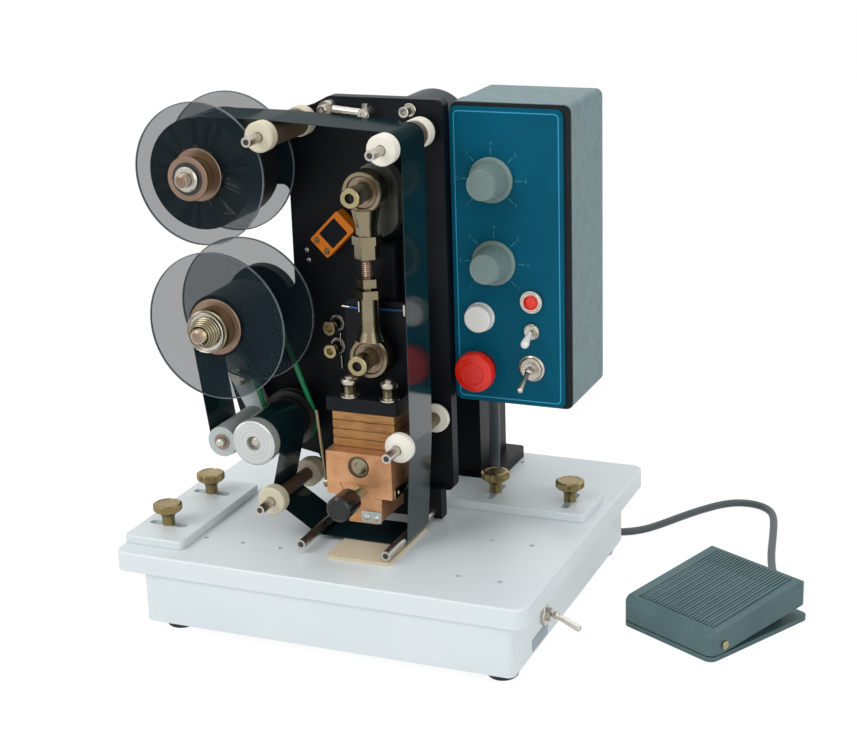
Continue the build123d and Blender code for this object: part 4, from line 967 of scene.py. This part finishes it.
@dataclass
class PrintHead:
    """What sits on the head: levelling studs, heater screw, probe, side strip and the blue lead."""

    body: str = "print_head"
    middle: float = 11.6
    shelf_z: float = 165.0
    levellers: tuple[Point, ...] = ((0.0, 78.4), (30.0, 78.4))

    def build(self) -> None:
        """Makes each fitting."""
        self.studs()
        self.heater_screw()
        self.probe()
        self.strip()
        self.lead()

    def studs(self) -> None:
        """Makes the two levelling studs: washers, thread and a domed nut."""
        washers, threads = Workpiece("levelling_washers"), Workpiece("levelling_threads")
        for x, y in self.levellers:
            washers.turned([(0, 0), (7.0, 0), (7.2, 0.3), (7.2, 1.3), (4.8, 1.5), (4.8, 2.2), (0, 2.2)],
                           (x, y, self.shelf_z), UP, 40)
            washers.turned([(0, 9.6), (6.0, 9.6), (6.2, 10), (6.2, 12.4), (5.4, 13.2), (3.2, 13.6), (3.2,
                                                                                                     14.6),
                            (2.2, 15.2), (0, 15.2)], (x, y, self.shelf_z), UP, 40)
            profile = [(4.4 + 0.6 * (i % 2), 2.2 + i * 0.62) for i in range(13)]
            threads.turned([(0, 2.2), *profile, (0, 9.6)], (x, y, self.shelf_z), UP, 32)
        washers.done(self.body, CHROME, ["levelling_screws"])
        threads.done(self.body, STEEL)

    def heater_screw(self) -> None:
        """Makes the dark ring and grooved steel plug in the heater's front."""
        ring, plug = Workpiece("heater_ring"), Workpiece("heater_plug")
        place = (self.middle, 63.6, 119.0)
        ring.ring(6.6, 7.9, 1.9, place, FORWARD, 48, 0.3)
        ring.done(self.body, DARK_STEEL)
        plug.turned([(0, 1.3), (2.6, 1.3), (2.9, 1.0), (3.2, 1.3), (5.0, 1.3), (6.3, 0.9), (6.3, 0), (0, 0)],
                    place, FORWARD, 48)
        plug.done(self.body, STEEL)

    def probe(self) -> None:
        """Makes the temperature probe's stem down to its screwed ring beside the heater."""
        stem = Workpiece("probe_stem")
        stem.rod((-15.5, 55.6, 160.5), (-15.5, 64.8, 106.4), 1.1, 0.2, 16)
        stem.turned([(1.6, -1.2), (3.4, -1.2), (3.4, 1.2), (1.6, 1.2), (1.6, -1.2)], (-15.0, 65.6, 103.4),
                    RIGHT, 28)
        stem.done(self.body, STEEL)
        screw = Workpiece("probe_screw")
        screw.slotted_screw((-16.0, 65.6, 103.4), -RIGHT, 2.4, 1.2)
        screw.rod((-16.1, 65.6, 103.4), (-13.2, 65.6, 103.4), 1.5, 0.1, 16)
        screw.done(self.body, BRONZE)

    def strip(self) -> None:
        """Makes the clamping strip along the heater's right side, with its screws."""
        strip = Workpiece("heater_side_strip")
        strip.block((36.4, 64.0, 97.6), (38.2, 101.0, 104.0), 0.3)
        strip.done(self.body, STEEL)
        screws = Workpiece("heater_side_screws")
        for y in (70.0, 94.0):
            screws.slotted_screw((38.2, y, 100.8), RIGHT, 2.0, 1.0)
        screws.done(self.body, CHROME)

    def lead(self) -> None:
        """Makes the blue lead across the carriage between its two clips."""
        lead = Workpiece("carriage_lead")
        lead.rod((-9.0, 102.9, 222.0), (-2.4, 102.9, 221.6), 0.9, 0.2, 12)
        lead.rod((-2.4, 102.9, 221.6), (32.0, 102.9, 222.7), 0.9, 0.2, 12)
        lead.done(self.body, BLUE_WIRE)
        clips = Workpiece("carriage_clips")
        clips.rod((-15.0, 102.9, 222.4), (-9.0, 102.9, 222.0), 0.7, 0.2, 12)
        clips.block((31.9, 102.0, 218.8), (33.6, 104.0, 226.9), 0.3)
        clips.block((-2.2, 102.0, 219.0), (-0.6, 104.0, 226.9), 0.3)
        clips.done(self.body, CHROME)


@dataclass
class TypeHolder:
    """The sprung stem of the black handle and the holder's small screws."""

    x: float = 12.0
    z: float = 101.0
    front: float = 62.5
    back_of_grip: float = 45.0

    def build(self) -> None:
        """Makes spring, plate and screws."""
        spring = Workpiece("handle_spring")
        spring.spring((self.x, self.front - 0.8, self.z), FORWARD, 3.7, 0.7,
                      self.front - self.back_of_grip - 1.8, 6.5)
        spring.done("type_slide", WARM_STEEL)
        screws = Workpiece("holder_screws")
        plate = Workpiece("holder_plate")
        plate.block((12.5, self.front - 1.2, 78.5), (27.5, self.front + 0.2, 87.0), 0.3)
        plate.done("type_slide", PALE_GREY)
        for x, z in ((1.0, 83.5), (16.5, 82.6), (23.6, 82.6)):
            screws.slotted_screw((x, self.front - (1.2 if x > 10 else 0), z), FORWARD, 2.2, 1.2)
        screws.done("type_slide", CHROME)


@dataclass
class Upright:
    """Screws, washers and wires on the black plate, and the sensor's face."""

    face: float = 132.0
    sensor: tuple[float, float, float] = (-29.4, 122.0, 268.2)
    sensor_turn: float = 45.0

    def build(self) -> None:
        """Makes each group of fittings."""
        self.screws()
        self.sensor_face()
        self.shaft_ends()

    def screws(self) -> None:
        """Makes the socket screws of tie rod and wires, small screws, nuts and the lever's screw."""
        bright, warm = Workpiece("plate_screws"), Workpiece("plate_warm_screws")
        bright.socket_screw((-30.0, 118.2, 357.6), FORWARD, 3.6, 2.6)
        bright.ring(3.0, 4.8, 1.2, (29.4, self.face, 357.4), FORWARD, 32)
        bright.rod((29.4, self.face, 357.4), (29.4, 124.0, 357.4), 3.1)
        bright.socket_screw((29.4, 124.0, 357.4), FORWARD, 3.8, 3.6)
        bright.socket_screw((0.0, 119.0, 355.0), FORWARD, 3.6, 1.6)
        for x, z in ((-35.8, 197.9), (-35.9, 180.7)):
            bright.ring(3.4, 6.0, 0.8, (x + 2.4, self.face, z + 2.2), FORWARD, 32, 0.3)
            warm.rod((x, self.face, z), (x, 126.0, z), 2.6)
            warm.socket_screw((x, 126.5, z), FORWARD, 5.3, 4.2)
        bright.rod((-30.8, 131.0, 193.4), (-30.9, 131.0, 183.0), 0.55, 0.1, 12)
        bright.rod((-30.9, 131.0, 176.5), (-30.6, 131.0, 166.0), 0.55, 0.1, 12)
        for x, z in ((-54.8, 252.9), (-53.7, 245.6)):
            bright.slotted_screw((x, self.face, z), FORWARD, 1.7, 0.8)
        bright.slotted_screw((-110.0, 119.0, 155.0), FORWARD, 6.7, 2.8)
        bright.done("frame", CHROME)
        warm.done("frame", WARM_STEEL)

    def sensor_face(self) -> None:
        """Makes the bare black area of the sensor's face and its two brass screws."""
        x, y, z = self.sensor
        c, s = cos(radians(self.sensor_turn)), sin(radians(self.sensor_turn))
        outline = [(c * u - s * v, s * u + c * v) for u, v in rounded(17.0, 14.6, 0.8)]
        face = Workpiece("sensor_face")
        face.plate(outline, (x + 1.6 * c, y, z + 1.6 * s), FORWARD, 0.25)
        face.done("frame", BLACK_FILM)
        screws = Workpiece("sensor_screws")
        for v in (-5.4, 5.4):
            u = -12.0
            screws.socket_screw((x + c * u - s * v, y, z + s * u + c * v), FORWARD, 2.3, 1.0)
        screws.done("frame", BRASS)

    def shaft_ends(self) -> None:
        """Makes flat dark discs on the shafts' front ends as painted shade of their sockets, and the take-up
        shaft's thread.
        """
        # Flat dark discs on the shaft ends: painted shade of the sockets, not a separate dark part.
        ends = Workpiece("shaft_socket_painted_shade")
        for x, z in ((-48.0, 349.3), (41.0, 344.5), (44.0, 137.5), (-55.3, 87.4), (-24.4, 65.7), (40.5,
                                                                                                  65.7)):
            ends.turned([(0, 0.12), (1.7, 0.12), (2.1, 0), (0, 0)], (x, 38.0, z), FORWARD, 20)
        ends.done("frame", DARK_STEEL)
        thread = Workpiece("takeup_thread")
        x, z = TAKEUP_AXIS
        profile = [(5.03 + 0.4 * (i % 2), i * 0.5) for i in range(20)]
        thread.turned(profile, (x, 38.3, z), BACK, 32)
        thread.done("frame", WARM_STEEL)
        tips = Workpiece("spindle_tips")
        for (x, z), y in ((TAKEUP_AXIS, 38.0), (SUPPLY_AXIS, 41.0)):
            tips.turned([(0, 0.5), (1.2, 0.5), (1.6, 1.0), (3.2, 1.0), (4.6, 0), (0, 0)], (x, y, z),
                        FORWARD, 32)
        tips.done("frame", BRONZE)


@dataclass
class ControlPanel:
    """The panel's print, its gasket, knobs, lamp, fuse cap, stop button and switch nuts."""

    left: float = 55.0
    right: float = 137.0
    low: float = 149.0
    high: float = 360.0
    front: float = 140.0
    inset: float = 2.8
    line: float = 0.8
    corner: float = 5.0
    knobs: tuple[tuple[str, str, float, float], ...] = (
        ("temperature_knob", "knob_temperature", 85.0, 310.0), ("speed_knob", "knob_speed", 86.0, 251.5))
    skirt: float = 16.0
    ticks: int = 7

    def build(self) -> None:
        """Makes print, gasket and everything that stands on the panel."""
        self.gasket()
        self.border()
        self.scales()
        for node, body, x, z in self.knobs:
            self.knob(node, body, x, z)
        self.lamp_and_fuse()
        self.stop_button()
        self.switch_nuts()
        self.mode_lever()

    def mode_lever(self) -> None:
        """Makes the thick white lever of the mode switch."""
        lever = Workpiece("mode_lever")
        tilt = radians(25)
        axis = Vector((0, -cos(tilt), -sin(tilt)))
        lever.turned([(0, -1.8), (1.7, -0.6), (1.9, 3.0), (2.8, 9.0), (3.0, 11.4), (2.3, 13.0), (0, 13.8)],
                     (113.5, 133.75, 204.0), axis, 32)
        lever.done("lever_mode", WHITE_PLASTIC, ["mode_toggle"])

    def gasket(self) -> None:
        """Makes the black gasket that shows round the panel on the case's front."""
        gasket = Workpiece("panel_gasket")
        gasket.band(rounded(86.6, 214.4, 5.2), rounded(74.6, 202.4, 3.0), (98.5, 143.4, 255.5), FORWARD, 1.6)
        gasket.done("frame", GASKET)

    def border(self) -> None:
        """Makes the printed border line."""
        width, height = self.right - self.left - 2 * self.inset, self.high - self.low - 2 * self.inset
        middle = ((self.left + self.right) / 2, self.front, (self.low + self.high) / 2)
        line = Workpiece("panel_border")
        line.band(rounded(width, height, self.corner - 1.5),
                  rounded(width - 2 * self.line, height - 2 * self.line, self.corner - 1.5 - self.line),
                  middle, FORWARD, 0.06)
        line.done("frame", LINE_INK)

    def scales(self) -> None:
        """Makes the ticks and figures round both knobs."""
        scale = Workpiece("knob_scales")
        for _, _, x, z in self.knobs:
            for tick in range(self.ticks):
                angle = radians(225 - tick * 45)
                across, up = cos(angle), sin(angle)
                middle = Vector((x + 19.8 * across, self.front, z + 19.8 * up))
                half = Vector((2.5, 0.06, 0.35))
                scale.block(middle - half, middle + half, 0.0, turn=Matrix.Rotation(-angle, 4, "Y"))
                scale.figure(str(tick + 1), 4.2, (x + 25.2 * across, self.front, z + 25.2 * up), FORWARD)
        scale.done("frame", TICK_INK)

    def knob(self, node: str, body: str, x: float, z: float) -> None:
        """Makes a knob: a flat skirt under a tapering fluted body.

        Args:
            node: The CAD node that it stands for.
            body: The body that it rides on.
            x: Its axis.
            z: Its axis.
        """
        knob = Workpiece(node + "_fluted")
        place = (x, self.front, z)
        knob.turned([(0, 0.5), (self.skirt, 0.5), (self.skirt, 2.4), (self.skirt - 0.8, 3.2), (0, 3.2)],
                    place,
                    FORWARD, 64)
        knob.toothed(13.2, 0.5, 40, 3.1, 20.0, place, FORWARD, 0.5, 0.82)
        knob.turned([(0, 19.6), (10.6, 19.6), (10.6, 20.3), (10.1, 20.7), (9.5, 20.3), (0, 20.3)], place,
                    FORWARD, 48)
        knob.done(body, KNOB_GREY, [node])

    def lamp_and_fuse(self) -> None:
        """Makes the red lamp in its chrome bezel and the white fuse cap."""
        lamp = Workpiece("lamp_lens")
        lamp.turned([(0, 1), (5.2, 1), (5.2, 5.4), (4.6, 7.0), (3.2, 8.3), (1.6, 8.9), (0, 9.1)],
                    (114.0, self.front, 226.0), FORWARD, 40)
        lamp.done("frame", RED_PLASTIC, ["panel_fittings"])
        cap = Workpiece("fuse_cap")
        cap.turned([(0, 0), (10.6, 0), (10.6, 1.6), (10.0, 2.2), (9.7, 7.4), (9.0, 8.2), (7.0, 8.4), (0,
                                                                                                      8.4)],
                   (75.0, self.front, 211.5), FORWARD, 56)
        cap.done("frame", WHITE_PLASTIC)

    def stop_button(self) -> None:
        """Makes the mushroom stop button with the ring moulded in its face."""
        button = Workpiece("stop_mushroom")
        button.turned([(0, 0.5), (9, 0.5), (9, 7.6), (13.4, 8), (14.5, 9), (14.5, 13), (13.6, 15), (11.6,
                                                                                                    16.2),
                       (8.4, 16.6), (8.0, 16.2), (7.6, 16.7), (0, 17)], (74.0, self.front, 174.0), FORWARD,
                       64)
        button.done("stop_head", RED_PLASTIC, ["stop_button"])

    def switch_nuts(self) -> None:
        """Makes hexagon nuts of lamp and switches, a dished washer and the side switch's nut."""
        nuts = Workpiece("switch_nuts")
        for x, z, flats, low, high in ((114.0, 226.0, 6.6, 0.2, 4.6), (113.5, 204.0, 4.8, 1.8, 3.4),
                                       (113.0, 177.0, 6.4, 1.0, 3.2)):
            nuts.ring(4.9 if flats > 5 else 3.7, flats / cos(pi / 6), high - low, (x, self.front - low, z),
                      FORWARD,
                      6, 0.4)
        nuts.turned([(7.6, 1.2), (9.2, 1.2), (9.2, 1.9), (8.4, 2.4), (7.6, 1.9)], (113.0, self.front, 177.0),
                    FORWARD, 40)
        nuts.ring(4.9, 7.4, 2.2, (146.2, 64.0, 27.0), RIGHT, 6, 0.4)
        nuts.done("frame", CHROME)


@dataclass
class BaseFittings:
    """Thumb screws of the guides and the bare plate under the side switch."""

    screws: tuple[Point, ...] = ((-134, 44), (-134, 108), (69.7, 176), (128, 176))
    top: float = 65.0

    def build(self) -> None:
        """Makes the knurled thumb screws and the plate."""
        heads = Workpiece("thumb_screw_heads")
        for x, y in self.screws:
            place = (x, y, self.top)
            heads.turned([(0, 0), (4.6, 0), (4.6, 5), (5.2, 7), (7.2, 9.2), (9.6, 10.4), (9.6, 11)], place,
                         UP)
            heads.toothed(10.5, 0.5, 44, 10.6, 16, place, UP, 0.7)
            heads.turned([(9.1, 16), (7.6, 16.3), (7.2, 15.7), (0, 15.7)], place, UP)
        heads.done("frame", BRASS, ["thumb_screws"])
        plate = Workpiece("bare_side_plate")
        plate.plate(rounded(30.0, 8.5, 0.8), (146.0, 55.0, 13.6), RIGHT, 0.5)
        plate.done("frame", BARE_PLATE)


@dataclass
class FootSwitch:
    """Fine tread between the treadle's ribs, and the slotted heads of its hinge pins."""

    corner: tuple[float, float] = (185.0, 119.0)
    turn: float = -28.0
    width: float = 84.0
    pin: tuple[float, float] = (13.0, 10.0)

    slope: float = 0.1329
    tread: tuple[float, float] = (9.0, 90.0)
    tread_z: tuple[float, float] = (7.0, 21.0)
    rib_h: float = 1.05
    rib_w: float = 1.9
    ribs: int = 25

    def build(self) -> None:
        """Makes the tread and the pin heads."""
        self.tread_ribs()
        self.pin_heads()

    def tread_ribs(self) -> None:
        """Makes narrow ribs over the whole tread, level with the moulded ones."""
        ribs = Workpiece("tread_ribs")
        low, high = self.tread
        turn = Matrix.Rotation(radians(self.turn), 4, "Z")
        tilt = turn @ Matrix.Rotation(self.slope, 4, "X")
        middle_y = (low + high) / 2
        middle_z = self.tread_z[1] + (middle_y - self.tread_z[0]) * tan(self.slope)
        half = Vector((self.rib_w / 2, (high - low) / 2 / cos(self.slope), (self.rib_h + 0.6) / 2))
        for i in range(self.ribs):
            x = 8.0 + i * (self.width - 16.0) / (self.ribs - 1)
            place = turn @ Vector((x, middle_y, middle_z + (self.rib_h - 0.6) / 2))
            place += Vector((*self.corner, 0))
            ribs.block(place - half, place + half, 0.35, turn=tilt)
        ribs.done("treadle", PEDAL_PAINT)

    def pin_heads(self) -> None:
        """Makes the two pin heads."""
        heads = Workpiece("hinge_pin_heads")
        c, s = cos(radians(self.turn)), sin(radians(self.turn))
        for x, side in ((-1.2, -1), (self.width + 1.2, 1)):
            place = (self.corner[0] + c * x - s * self.pin[0], self.corner[1] + s * x + c * self.pin[0],
                     self.pin[1])
            heads.slotted_screw(place, Vector((c, s, 0)) * side, 3.0, 0.9)
        heads.done("frame", WARM_STEEL)


ROLLERS = (GuideRoller("roller_upper_left", -48.0, 349.3, 9.2, 16.0, CREAM),
           GuideRoller("roller_upper_right", 41.0, 344.5, 9.2, 16.0, NYLON),
           GuideRoller("roller_lower_right", 44.0, 137.5, 4.8, 6.0, NYLON, nose=5.8),
           GuideRoller("roller_lower_left", -55.3, 87.4, 4.8, 16.0, CREAM))
REELS = (Reel("supply_reel", "supply_cap", SUPPLY_AXIS, 50.0, 18.5, 13.0, False),
         Reel("takeup_reel", "takeup_cap", TAKEUP_AXIS, 53.5, 20.3, 15.6, True))


def main() -> None:
    """Builds the studio and every sub-assembly in order."""
    logging.basicConfig(level=logging.INFO, format="%(message)s")
    dress_nodes()
    for part in (Studio(), FootCord(), BaseFittings(), Upright(), *REELS, FeedUnit(), *ROLLERS, CrankDrive(),
                 PrintHead(), TypeHolder(), ControlPanel(), FootSwitch()):
        part.build()
        LOG.info("%s done", type(part).__name__)


if __name__ == "__main__":
    main()
